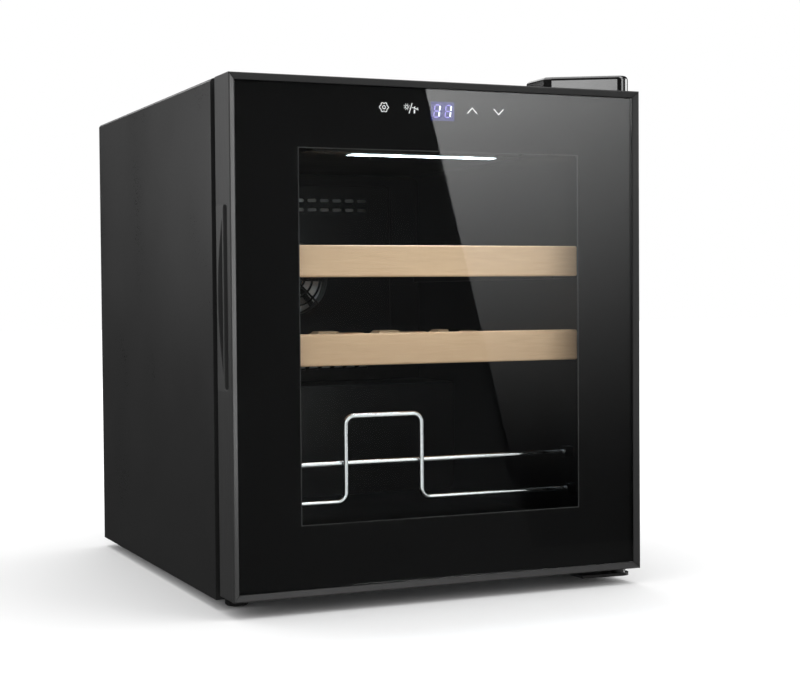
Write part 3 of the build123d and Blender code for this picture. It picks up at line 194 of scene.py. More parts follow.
# %% Group: pebbled skin
def make_pebbled_skin():
    tree, given, result = new_group("pebbled_skin", "ShaderNodeTree", FINISH_INPUTS, FINISH_OUTPUTS)
    pebbles = noise(tree, given.outputs["Vector"], given.outputs["Scale"], 3.0, 0.6)
    clouds = noise(tree, given.outputs["Vector"], 9.0, 3.0)
    mixed = reckon(tree, "ADD", reckon(tree, "MULTIPLY", pebbles, 0.5), reckon(tree, "MULTIPLY", clouds, 0.5))
    shade = spread(tree, mixed, 0.35, 0.65, 0.0, 1.0)
    color = blend_colors(tree, shade, given.outputs["Dark"], given.outputs["Light"])
    roughness = spread(tree, mixed, 0.35, 0.65, given.outputs["Smooth"], given.outputs["Rough"])
    tree.links.new(color, result.inputs["Color"])
    tree.links.new(roughness, result.inputs["Roughness"])
    tree.links.new(pebbles, result.inputs["Height"])
    return tree


pebbled_skin = make_pebbled_skin()
print("group", pebbled_skin.name)


# %% [markdown]
# Drawn and brushed metal has long fine lines. The same noise, read through coordinates that a
# Mapping node has squeezed along one axis, gives lines instead of spots.

# %% Group: drawn metal
def make_drawn_metal():
    tree, given, result = new_group("drawn_metal", "ShaderNodeTree", FINISH_INPUTS, FINISH_OUTPUTS)
    lines = noise(tree, given.outputs["Vector"], given.outputs["Scale"], 4.0, 0.65)
    tarnish = noise(tree, given.outputs["Vector"], 12.0, 4.0, 0.6)
    mixed = reckon(tree, "ADD", reckon(tree, "MULTIPLY", lines, 0.6), reckon(tree, "MULTIPLY", tarnish, 0.4))
    shade = spread(tree, mixed, 0.35, 0.65, 0.0, 1.0)
    color = blend_colors(tree, shade, given.outputs["Dark"], given.outputs["Light"])
    roughness = spread(tree, mixed, 0.35, 0.65, given.outputs["Rough"], given.outputs["Smooth"])
    tree.links.new(color, result.inputs["Color"])
    tree.links.new(roughness, result.inputs["Roughness"])
    tree.links.new(lines, result.inputs["Height"])
    return tree


drawn_metal = make_drawn_metal()
print("group", drawn_metal.name)


# %% [markdown]
# Beech is pale, with short dark dashes called ray flecks that lie along the board, and a very faint
# long grain. Stretched noise gives the grain. Stretched Voronoi cells, cut down to their middles and
# thinned out by their own random colour, give the flecks.

# %% Group: beech grain
def make_beech_grain():
    inputs = FINISH_INPUTS + [("Fleck", "NodeSocketColor", (0.3, 0.16, 0.07, 1))]
    tree, given, result = new_group("beech_grain", "ShaderNodeTree", inputs, FINISH_OUTPUTS)
    grain = noise(tree, given.outputs["Vector"], given.outputs["Scale"], 4.0, 0.55)
    bands = noise(tree, given.outputs["Vector"], 2.2, 2.0)
    mixed = reckon(tree, "ADD", reckon(tree, "MULTIPLY", grain, 0.55), reckon(tree, "MULTIPLY", bands, 0.45))
    shade = spread(tree, mixed, 0.32, 0.68, 0.0, 1.0)
    color = blend_colors(tree, shade, given.outputs["Dark"], given.outputs["Light"])
    cells = add_node(tree, "ShaderNodeTexVoronoi")
    cells.inputs["Scale"].default_value = 7.0
    tree.links.new(given.outputs["Vector"], cells.inputs["Vector"])
    middle = spread(tree, cells.outputs["Distance"], 0.05, 0.11, 1.0, 0.0)
    pick = add_node(tree, "ShaderNodeSeparateColor")
    tree.links.new(cells.outputs["Color"], pick.inputs["Color"])
    chosen = spread(tree, pick.outputs["Red"], 0.45, 0.55, 0.0, 0.75)
    fleck = reckon(tree, "MULTIPLY", middle, chosen)
    flecked = blend_colors(tree, fleck, color, given.outputs["Fleck"])
    roughness = spread(tree, mixed, 0.35, 0.65, given.outputs["Smooth"], given.outputs["Rough"])
    tree.links.new(flecked, result.inputs["Color"])
    tree.links.new(roughness, result.inputs["Roughness"])
    tree.links.new(reckon(tree, "SUBTRACT", grain, fleck), result.inputs["Height"])
    return tree


beech_grain = make_beech_grain()
print("group", beech_grain.name)


# %% [markdown]
# A material is one Principled shader fed by a group. The stretch of the Mapping node sets the
# direction of grain or brush lines: a small number along an axis makes the pattern long there.

# %% One function for every opaque material
COAT_ROUGHNESS = 0.08


def opaque(name, group, dark, light, smooth, rough, scale, stretch=(1, 1, 1), metallic=0.0,
           depth=0.03, coat=0.0, round_edges=0.0, gloss=0.5, **extra):
    """A Principled material whose colour, roughness and bump come from a finish group."""
    material = bpy.data.materials.new(name)
    material.use_nodes = True
    tree = material.node_tree
    shader = tree.nodes["Principled BSDF"]
    place = add_node(tree, "ShaderNodeTexCoord")
    mapping = add_node(tree, "ShaderNodeMapping")
    mapping.inputs["Scale"].default_value = stretch
    tree.links.new(place.outputs["Object"], mapping.inputs["Vector"])
    finish = add_node(tree, "ShaderNodeGroup", node_tree=group)
    tree.links.new(mapping.outputs["Vector"], finish.inputs["Vector"])
    finish.inputs["Scale"].default_value = scale
    finish.inputs["Dark"].default_value = (*dark, 1)
    finish.inputs["Light"].default_value = (*light, 1)
    finish.inputs["Smooth"].default_value = smooth
    finish.inputs["Rough"].default_value = rough
    for label, value in extra.items():
        finish.inputs[label].default_value = value
    bump = add_node(tree, "ShaderNodeBump")
    bump.inputs["Strength"].default_value = 1.0
    bump.inputs["Distance"].default_value = depth * MM
    tree.links.new(finish.outputs["Height"], bump.inputs["Height"])
    if round_edges:
        bevel = add_node(tree, "ShaderNodeBevel", samples=6)
        bevel.inputs["Radius"].default_value = round_edges
        tree.links.new(bevel.outputs["Normal"], bump.inputs["Normal"])
    tree.links.new(finish.outputs["Color"], shader.inputs["Base Color"])
    tree.links.new(finish.outputs["Roughness"], shader.inputs["Roughness"])
    tree.links.new(bump.outputs["Normal"], shader.inputs["Normal"])
    shader.inputs["Metallic"].default_value = metallic
    shader.inputs["Coat Weight"].default_value = coat
    shader.inputs["Coat Roughness"].default_value = COAT_ROUGHNESS
    shader.inputs["Specular IOR Level"].default_value = gloss
    return material


def glowing(material, color, strength):
    """Make an opaque material give off light of a fixed colour."""
    shader = material.node_tree.nodes["Principled BSDF"]
    shader.inputs["Emission Color"].default_value = (*color, 1)
    shader.inputs["Emission Strength"].default_value = strength
    return material


# %% [markdown]
# The finishes, one for each kind of stock that the maker would buy. Dark paint is never pure black:
# a couple of percent of light comes back from it, and the rest of what you see is its gloss.

# %% Materials
def grey(value, tint=0.0):
    """A neutral colour, a little bluer as tint rises."""
    return (value, value * (1 + tint * 0.3), value * (1 + tint))


finishes = {
    "cabinet_paint": opaque(
        "cabinet_paint", pebbled_skin, grey(0.014), grey(0.018), 0.27, 0.34, 700.0, depth=0.015,
        round_edges=0.0012,
    ),
    "door_frame": opaque(
        "door_frame", drawn_metal, grey(0.042), grey(0.052), 0.30, 0.38, 400.0, (1, 1, 0.05),
        metallic=0.35, depth=0.006, round_edges=0.0006,
    ),
    "galvanised_steel": opaque(
        "galvanised_steel", pebbled_skin, grey(0.34, 0.06), grey(0.52, 0.06), 0.32, 0.48, 60.0,
        metallic=0.9, depth=0.02,
    ),
    "hinge_steel": opaque(
        "hinge_steel", drawn_metal, grey(0.38), grey(0.55), 0.25, 0.4, 500.0, (0.1, 1, 1),
        metallic=1.0, depth=0.01, round_edges=0.0004,
    ),
    "black_hinge_steel": opaque(
        "black_hinge_steel", pebbled_skin, grey(0.018), grey(0.028), 0.35, 0.5, 600.0, metallic=0.2,
        depth=0.03, round_edges=0.0005,
    ),
    "zinc_fastener": opaque(
        "zinc_fastener", drawn_metal, grey(0.34, 0.05), grey(0.48, 0.05), 0.22, 0.36, 700.0,
        metallic=1.0, depth=0.008,
    ),
    "copper_tube": opaque(
        "copper_tube", drawn_metal, (0.42, 0.19, 0.1), (0.68, 0.34, 0.2), 0.22, 0.42, 300.0,
        metallic=1.0, depth=0.01,
    ),
    "aluminium_plate": opaque(
        "aluminium_plate", drawn_metal, grey(0.55), grey(0.68), 0.3, 0.42, 300.0, (1, 1, 0.05),
        metallic=1.0, depth=0.01,
    ),
    "spacer_aluminium": opaque(
        "spacer_aluminium", drawn_metal, grey(0.2), grey(0.28), 0.3, 0.45, 300.0, metallic=0.9,
        depth=0.01,
    ),
    "chrome_wire": opaque(
        "chrome_wire", drawn_metal, grey(0.74, 0.03), grey(0.86, 0.03), 0.06, 0.12, 200.0,
        metallic=1.0, depth=0.002,
    ),
    "compressor_paint": opaque(
        "compressor_paint", pebbled_skin, grey(0.012), grey(0.02), 0.12, 0.25, 120.0, depth=0.05,
        coat=0.4,
    ),
    "foam": opaque(
        "foam", pebbled_skin, (0.55, 0.45, 0.25), (0.8, 0.7, 0.45), 0.8, 0.95, 250.0, depth=0.4,
    ),
    "liner_plastic": opaque(
        "liner_plastic", pebbled_skin, grey(0.002, 0.2), grey(0.0035, 0.2), 0.3, 0.42, 300.0,
        depth=0.012, round_edges=0.0008, gloss=0.3,
    ),
    "black_plastic": opaque(
        "black_plastic", pebbled_skin, grey(0.014), grey(0.022), 0.45, 0.6, 450.0, depth=0.04,
        round_edges=0.0004,
    ),
    "grip_plastic": opaque(
        "grip_plastic", pebbled_skin, grey(0.03), grey(0.042), 0.34, 0.44, 500.0, depth=0.02,
        round_edges=0.0005,
    ),
    "gloss_black_plastic": opaque(
        "gloss_black_plastic", pebbled_skin, grey(0.15), grey(0.18), 0.12, 0.17, 90.0, metallic=1.0,
        depth=0.02, coat=0.4,
    ),
    "printed_black": opaque(
        "printed_black", pebbled_skin, grey(0.0092), grey(0.0098), 0.6, 0.7, 40.0, depth=0.0, gloss=0.0,
    ),
    "circuit_board": opaque(
        "circuit_board", drawn_metal, (0.01, 0.06, 0.025), (0.02, 0.12, 0.05), 0.3, 0.45, 150.0,
        depth=0.02,
    ),
    "rubber": opaque("rubber", pebbled_skin, grey(0.012), grey(0.02), 0.7, 0.85, 500.0, depth=0.05),
    "gasket_vinyl": opaque(
        "gasket_vinyl", pebbled_skin, grey(0.010), grey(0.016), 0.5, 0.65, 350.0, depth=0.03,
    ),
    "magnet_rubber": opaque(
        "magnet_rubber", pebbled_skin, (0.03, 0.026, 0.022), (0.05, 0.045, 0.04), 0.75, 0.9, 400.0,
    ),
    "beech": opaque(
        "beech", beech_grain, (0.80, 0.52, 0.31), (0.89, 0.61, 0.38), 0.42, 0.55, 4.0,
        (12.0, 150.0, 150.0), depth=0.02, Fleck=(0.34, 0.2, 0.12, 1),
    ),
    "display_face": glowing(
        opaque("display_face", pebbled_skin, (0.004, 0.004, 0.05), (0.008, 0.008, 0.08), 0.2, 0.3, 300.0),
        (0.012, 0.012, 0.13), 1.0,
    ),
    # The key print is given a painted glow: it gives off light, though nothing lights it from behind.
    "key_print": glowing(
        opaque("key_print", pebbled_skin, grey(0.5), grey(0.6), 0.5, 0.6, 300.0), (0.7, 0.7, 0.7), 0.9,
    ),
    "outline_print": opaque("outline_print", pebbled_skin, grey(0.05), grey(0.07), 0.5, 0.6, 300.0),
    "digit_lit": glowing(
        opaque("digit_lit", pebbled_skin, grey(0.7), grey(0.8), 0.5, 0.6, 300.0), (0.8, 0.86, 1.0), 1.4,
    ),
    # The unlit bars are given a painted glow, fainter and bluer than the lit ones, so that they show.
    "digit_unlit": glowing(
        opaque("digit_unlit", pebbled_skin, (0.1, 0.08, 0.3), (0.12, 0.1, 0.34), 0.5, 0.6, 300.0),
        (0.26, 0.22, 0.62), 1.0,
    ),
}


# %% [markdown]
# Clear glass needs no colour, only a transmission weight of one. What makes it real is what it
# reflects, and faint smears in its gloss.

# %% Glass
def make_glass(name, ior):
    material = bpy.data.materials.new(name)
    material.use_nodes = True
    tree = material.node_tree
    shader = tree.nodes["Principled BSDF"]
    place = add_node(tree, "ShaderNodeTexCoord")
    smears = noise(tree, place.outputs["Object"], 14.0, 5.0, 0.6)
    tree.links.new(spread(tree, smears, 0.5, 0.8, 0.0, 0.001), shader.inputs["Roughness"])
    shader.inputs["Base Color"].default_value = (0.97, 0.985, 0.98, 1)
    shader.inputs["Transmission Weight"].default_value = 1.0
    shader.inputs["IOR"].default_value = ior
    return material


finishes["door_glass"] = make_glass("door_glass", 1.5)
finishes["coated_glass"] = make_glass("coated_glass", 1.12)


# %% [markdown]
# The lamp is a strip of small light chips behind a milky lens. The lens is brightest over each chip, so
# a wave along the strip lifts the glow there, and it fades towards the two ends.

# %% Lamp lens
LAMP_CHIPS = 4
LAMP_GLOW = 1.6
MILKY_BLUE = (0.42, 0.58, 0.66, 1)
CHIP_WHITE = (1.5, 1.7, 1.8, 1)


def make_lamp_lens():
    material = opaque("lamp_light", pebbled_skin, grey(0.6), grey(0.75), 0.3, 0.45, 200.0)
    tree = material.node_tree
    shader = tree.nodes["Principled BSDF"]
    place = add_node(tree, "ShaderNodeTexCoord")
    split = add_node(tree, "ShaderNodeSeparateXYZ")
    tree.links.new(place.outputs["Object"], split.inputs["Vector"])
    lens_low, lens_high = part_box("lamp_lens")
    along = spread(tree, split.outputs["X"], lens_low.x, lens_high.x, 0.0, 1.0)
    wave = reckon(tree, "SINE", reckon(tree, "MULTIPLY", along, LAMP_CHIPS * 2 * pi))
    peak = reckon(tree, "POWER", spread(tree, wave, -1.0, 1.0, 0.0, 1.0), 6.0)
    ends = spread(tree, reckon(tree, "ABSOLUTE", reckon(tree, "SUBTRACT", along, 0.47)), 0.32, 0.5, 1.0, 0.35)
    glow = blend_colors(tree, peak, MILKY_BLUE, CHIP_WHITE)
    tree.links.new(blend_colors(tree, ends, (0, 0, 0, 1), glow), shader.inputs["Emission Color"])
    shader.inputs["Emission Strength"].default_value = LAMP_GLOW
    return material


finishes["lamp_light"] = make_lamp_lens()
for part in frame["record"]["subparts"]:
    node = nodes[part["node"]]
    for socket in node.material_slots:
        socket.material = finishes[part["material_slot"]]
nodes["inner_glass"].material_slots[0].material = finishes["coated_glass"]
print(len(finishes), "finishes on", len(nodes), "parts")


# %% [markdown]
# New pieces are meshes whose object stays at the origin. This helper turns lists of points and faces
# into such an object, gives it a finish, and tells the frame which body it rides on.

# %% Helper: finish a piece
def piece(name, mesh, finish, body, replaces=()):
    """Make the object of a mesh, with its finish, riding on a body."""
    built = bpy.data.objects.new(name, mesh)
    scene.collection.objects.link(built)
    if finish is not None:
        mesh.materials.clear()
        mesh.materials.append(finishes[finish])
    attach(built, body)
    if replaces:
        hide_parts(*replaces)
    return built


def mesh_from(name, points, faces):
    """A mesh with its faces turned outwards."""
    mesh = bpy.data.meshes.new(name)
    mesh.from_pydata([tuple(point) for point in points], [], faces)
    shape = bmesh.new()
    shape.from_mesh(mesh)
    bmesh.ops.remove_doubles(shape, verts=shape.verts, dist=1e-7)
    bmesh.ops.recalc_face_normals(shape, faces=shape.faces)
    shape.to_mesh(mesh)
    shape.free()
    return mesh


# %% [markdown]
# The door's pane. A glazier grinds the sharp edge of a pane to a small slope, an arris, and that is
# the thin bright line at its rim. The pane stops just short of the black print behind it, because
# two faces in one plane would flicker.

# %% Front pane
PRINT_GAP = 0.06 * MM
ARRIS = 0.5 * MM


def pane_mesh(name, low, high, arris):
    """A glass slab with a ground slope round both faces."""
    rings = []
    for y, inset in ((low.y, arris), (low.y + arris, 0.0), (high.y - arris, 0.0), (high.y, arris)):
        rings.append([
            (low.x + inset, y, low.z + inset), (high.x - inset, y, low.z + inset),
            (high.x - inset, y, high.z - inset), (low.x + inset, y, high.z - inset),
        ])
    points = [point for ring in rings for point in ring]
    faces = [(0, 1, 2, 3), (12, 13, 14, 15)]
    for ring in range(3):
        for corner in range(4):
            after = (corner + 1) % 4
            faces.append((ring * 4 + corner, ring * 4 + after, ring * 4 + 4 + after, ring * 4 + 4 + corner))
    return mesh_from(name, points, faces)


front_pane = piece(
    "front_pane",
    pane_mesh("front_pane", glass_low, Vector((glass_high.x, glass_high.y - PRINT_GAP, glass_high.z)), ARRIS),
    "door_glass", "door", replaces=("front_glass",),
)
for pane in (front_pane, nodes["inner_glass"]):
    pane.visible_shadow = False
print("pane", round(glass_high.x - glass_low.x, 3), "by", round(glass_high.z - glass_low.z, 3))


# %% [markdown]
# Printed marks are flat plates a few hundredths of a millimetre thick. A band follows a list of points
# in the plane of the glass, closed or open, and its corners are mitred, so each stroke is one solid.

# %% Helper: bands in the plane of the glass
def band(points, width, y_span, closed=False):
    """The points and faces of a mitred flat band along (x, z) points."""
    line = [Vector(point) for point in points]
    count = len(line)
    corners = []
    for index, point in enumerate(line):
        steps = []
        if closed or index > 0:
            steps.append((point - line[index - 1]).normalized())
        if closed or index < count - 1:
            steps.append((line[(index + 1) % count] - point).normalized())
        along = sum(steps, Vector((0, 0))).normalized()
        across = Vector((-along.y, along.x))
        reach = width / 2 / max(0.4, across.dot(Vector((-steps[0].y, steps[0].x))))
        for side in (point + across * reach, point - across * reach):
            corners += [(side.x, y_span[0], side.y), (side.x, y_span[1], side.y)]
    faces = []
    for index in range(count if closed else count - 1):
        a, b = index * 4, (index + 1) % count * 4
        faces += [
            (a, b, b + 2, a + 2), (a + 1, a + 3, b + 3, b + 1),
            (a, a + 1, b + 1, b), (a + 2, b + 2, b + 3, a + 3),
        ]
    if not closed:
        last = (count - 1) * 4
        faces += [(0, 2, 3, 1), (last, last + 1, last + 3, last + 2)]
    return corners, faces


def bands_mesh(name, strokes, y_span):
    """One mesh of many bands, each given as (points, width, closed)."""
    points, faces = [], []
    for line, width, closed in strokes:
        new_points, new_faces = band(line, width, y_span, closed)
        faces += [tuple(corner + len(points) for corner in face) for face in new_faces]
        points += new_points
    return mesh_from(name, points, faces)


def loop(center, radius, count=24, lobes=0, lobe_height=0.0):
    """Points on a circle, or on a flower when it has lobes."""
    points = []
    for index in range(count):
        angle = 2 * pi * index / count
        reach = radius + lobe_height * cos(lobes * angle)
        points.append((center[0] + reach * cos(angle), center[1] + reach * sin(angle)))
    return points


# %% [markdown]
# The marks for the touch keys lie in the thin gap between the pane and the print: a cog, a sun and a
# twig parted by a slash, and two chevrons. Their print gives off a painted glow of its own. A thin line in
# the same gap runs round the window.

# %% Key marks and window outline
KEY_PITCH = 29.0 * MM
KEY_Z = (display_low.z + display_high.z) / 2
MARK_Z = KEY_Z + 1.5 * MM
BEHIND_PANE = (glass_high.y - 0.045 * MM, glass_high.y - 0.015 * MM)


def chevron(center, up):
    """Three points of an arrow head."""
    half, rise = 5.3 * MM, 2.7 * MM * up
    left, right = center[0] - half, center[0] + half
    return [(left, center[1] - rise), (center[0], center[1] + rise), (right, center[1] - rise)]


def beside(center, *offsets):
    """Points given by their offsets from a center, in millimetres."""
    return [(center[0] + x * MM, center[1] + z * MM) for x, z in offsets]


cog = (-2.1 * KEY_PITCH, MARK_Z)
sun = (-KEY_PITCH - 8.6 * MM, MARK_Z + 1.2 * MM)
slash = (-KEY_PITCH - 4.6 * MM, MARK_Z)
twig = (-KEY_PITCH - 0.4 * MM, MARK_Z)
marks = [
    (loop(cog, 4.1 * MM, 48, 6, 0.55 * MM), 0.75 * MM, True),
    (loop(cog, 1.5 * MM, 20), 0.8 * MM, True),
    (loop(sun, 1.5 * MM, 18), 0.6 * MM, True),
    (beside(slash, (-1.6, -4.8), (1.6, 4.8)), 0.8 * MM, False),
    (beside(twig, (-2.8, 0.9), (0.0, 0.2), (3.9, -1.2)), 0.7 * MM, False),
    (beside(twig, (-0.4, 0.4), (0.5, 1.9)), 0.9 * MM, False),
    (beside(twig, (1.9, -0.4), (3.6, 0.9)), 0.6 * MM, False),
    (beside(twig, (-0.1, -1.0), (-0.3, -4.6)), 1.5 * MM, False),
    (chevron((KEY_PITCH * 1.08, MARK_Z), 1), 1.0 * MM, False),
    (chevron((KEY_PITCH * 2.06, MARK_Z), -1), 1.0 * MM, False),
]
SUN_RAYS = 8
for ray in range(SUN_RAYS):
    angle = 2 * pi * (ray + 0.5) / SUN_RAYS
    ends = [(sun[0] + reach * cos(angle), sun[1] + reach * sin(angle)) for reach in (2.3 * MM, 3.2 * MM)]
    marks.append((ends, 0.55 * MM, False))
# The key marks carry the painted glow of the key print.
piece("key_marks", bands_mesh("key_marks", marks, BEHIND_PANE), "key_print", "door")

OUTLINE_WIDTH = 0.85 * MM
corners = {
    (round(vertex.co.x, 5), round(vertex.co.z, 5)) for vertex in nodes["printed_border"].data.vertices
}
OUTER_RIM = 10 * MM
window_x = max(x for x, z in corners if x < print_high.x - OUTER_RIM)
window_low = min(z for x, z in corners if z > print_low.z + OUTER_RIM)
window_high = max(z for x, z in corners if x == window_x)
edge = OUTLINE_WIDTH / 2
window_line = [
    (-window_x - edge, window_low - edge), (window_x + edge, window_low - edge),
    (window_x + edge, window_high + edge), (-window_x - edge, window_high + edge),
]
piece(
    "window_outline", bands_mesh("window_outline", [(window_line, OUTLINE_WIDTH, True)], BEHIND_PANE),
    "outline_print", "door",
)
print("marks", len(marks), "window", round(2 * window_x, 3), "by", round(window_high - window_low, 3))


# %% [markdown]
# Each digit has seven bars that lean a little. The lit bars glow, and the rest are given a fainter
# painted glow so that they show, so the digits are two pieces: one of lit bars and one of the rest.

# %% Display digits
DIGIT_HEIGHT = 11.4 * MM
DIGIT_WIDTH = 5.4 * MM
BAR_WIDTH = 1.15 * MM
LEAN = 0.14
LIT_BARS = "bc"
BEFORE_DISPLAY = (display_low.y - 0.06 * MM, display_low.y - 0.02 * MM)


def digit_bars(center_x):
    """The seven bars of one digit as {letter: two points}."""
    half, rise, gap = DIGIT_WIDTH / 2, DIGIT_HEIGHT / 2, 0.7 * MM
    ends = {
        "a": ((-half + gap, rise), (half - gap, rise)), "g": ((-half + gap, 0), (half - gap, 0)),
        "d": ((-half + gap, -rise), (half - gap, -rise)), "b": ((half, gap), (half, rise - gap)),
        "c": ((half, -rise + gap), (half, -gap)), "e": ((-half, -rise + gap), (-half, -gap)),
        "f": ((-half, gap), (-half, rise - gap)),
    }
    return {
        letter: [(center_x + x + LEAN * z, KEY_Z + z) for x, z in pair] for letter, pair in ends.items()
    }


lit, unlit = [], []
for center_x in (-6.1 * MM, 5.7 * MM):
    for letter, line in digit_bars(center_x).items():
        if letter in LIT_BARS:
            lit.append((line, BAR_WIDTH * 1.25, False))
        else:
            unlit.append((line, BAR_WIDTH, False))
piece("digits_lit", bands_mesh("digits_lit", lit, BEFORE_DISPLAY), "digit_lit", "door")
# The unlit bars carry a painted glow.
piece("digits_unlit_painted_glow", bands_mesh("digits_unlit_painted_glow", unlit, BEFORE_DISPLAY), "digit_unlit", "door")
print("bars lit", len(lit), "unlit", len(unlit))


# %% [markdown]
# The seal is a soft extrusion with pleats on both sides, so that it can close without force. One
# outline is carried round the door, and it turns each corner on a mitre.

# %% Door seal
seal_low, seal_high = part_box("door_gasket")
SEAL_WIDTH = 22.0 * MM
BODY_START = 2.2
SEAL_DEPTH = (seal_high.y - seal_low.y) / MM
half_outline = [
    (9.1, 0.0), (9.1, BODY_START), (1.5, BODY_START), (0.4, 3.0), (1.1, 4.2), (0.3, 5.4), (1.1, 6.6),
    (0.3, 7.9), (0.0, SEAL_DEPTH - 0.9), (0.6, SEAL_DEPTH),
]
outline = half_outline + [(SEAL_WIDTH / MM - across, depth) for across, depth in reversed(half_outline)]
seal_points, seal_faces = [], []
for x_sign, z_sign in ((-1, -1), (1, -1), (1, 1), (-1, 1)):
    for across, depth in outline:
        x = seal_high.x - across * MM
        z = seal_high.z - across * MM if z_sign > 0 else seal_low.z + across * MM
        seal_points.append((x_sign * x, seal_low.y + depth * MM, z))
size = len(outline)
for corner in range(4):
    for index in range(size):
        after, beyond = (index + 1) % size, (corner + 1) % 4
        seal_faces.append((
            corner * size + index, corner * size + after, beyond * size + after, beyond * size + index,
        ))
seal_mesh = mesh_from("door_seal", seal_points, seal_faces)
piece("door_seal", seal_mesh, "gasket_vinyl", "door", replaces=("door_gasket",))
print("seal outline of", size, "points")


# %% [markdown]
# Screws repeat, so one screw is drawn and Geometry Nodes puts it everywhere. A small mesh of points
# carries the direction that each head faces and the depth of its shank as attributes.

# %% Screw places read from the part
def clusters(node):
    """The boxes of the loose solids in a part."""
    shape = bmesh.new()
    shape.from_mesh(node.data)
    bmesh.ops.remove_doubles(shape, verts=shape.verts, dist=1e-6)
    waiting, found = set(shape.verts), []
    while waiting:
        reached, group = [waiting.pop()], []
        while reached:
            vertex = reached.pop()
            group.append(vertex.co.copy())
            for edge in vertex.link_edges:
                other = edge.other_vert(vertex)
                if other in waiting:
                    waiting.remove(other)
                    reached.append(other)
        low = Vector([min(point[axis] for point in group) for axis in range(3)])
        high = Vector([max(point[axis] for point in group) for axis in range(3)])
        found.append((low, high))
    shape.free()
    return found


HEAD_HEIGHT = 1.8 * MM
REAR_FROM = 0.2
TOP_FROM = 0.2
places, facings, reaches = [], [], []
for low, high in clusters(nodes["cabinet_screws"]):
    center = (low + high) / 2
    if center.y > REAR_FROM:
        place, facing = (center.x, high.y - HEAD_HEIGHT, center.z), (0, 1, 0)
    elif center.z > TOP_FROM:
        place, facing = (center.x, center.y, high.z - HEAD_HEIGHT), (0, 0, 1)
    else:
        place, facing = (center.x, center.y, low.z + HEAD_HEIGHT), (0, 0, -1)
    length = high.y - low.y if facing[1] else high.z - low.z
    places.append(place)
    facings.append(facing)
    reaches.append(length - HEAD_HEIGHT)
screw_points = bpy.data.meshes.new("screw_points")
screw_points.from_pydata(places, [], [])
screw_points.attributes.new("facing", "FLOAT_VECTOR", "POINT")
screw_points.attributes.new("reach", "FLOAT", "POINT")
flat_facings = [value for facing in facings for value in facing]
screw_points.attributes["facing"].data.foreach_set("vector", flat_facings)
screw_points.attributes["reach"].data.foreach_set("value", reaches)
print("screws", len(places))


# %% [markdown]
# The head is a low cone with a cross cut into it by a Boolean. The shank is a cylinder one unit long,
# and each instance is scaled to its own depth.

# %% Geometry Nodes: screws
def chain(tree, kind, settings=None, **links):
    """Add a node, set its sockets to values or links, and return it."""
    node = add_node(tree, kind, **(settings or {}))
    for label, value in links.items():
        socket = node.inputs[label.replace("_", " ")]
        if isinstance(value, bpy.types.NodeSocket):
            tree.links.new(value, socket)
        else:
            socket.default_value = value
    return node


CROWN_SHARE = 0.72
CROSS_LENGTH_SHARE = 1.1
CROSS_DEPTH_SHARE = 1.2


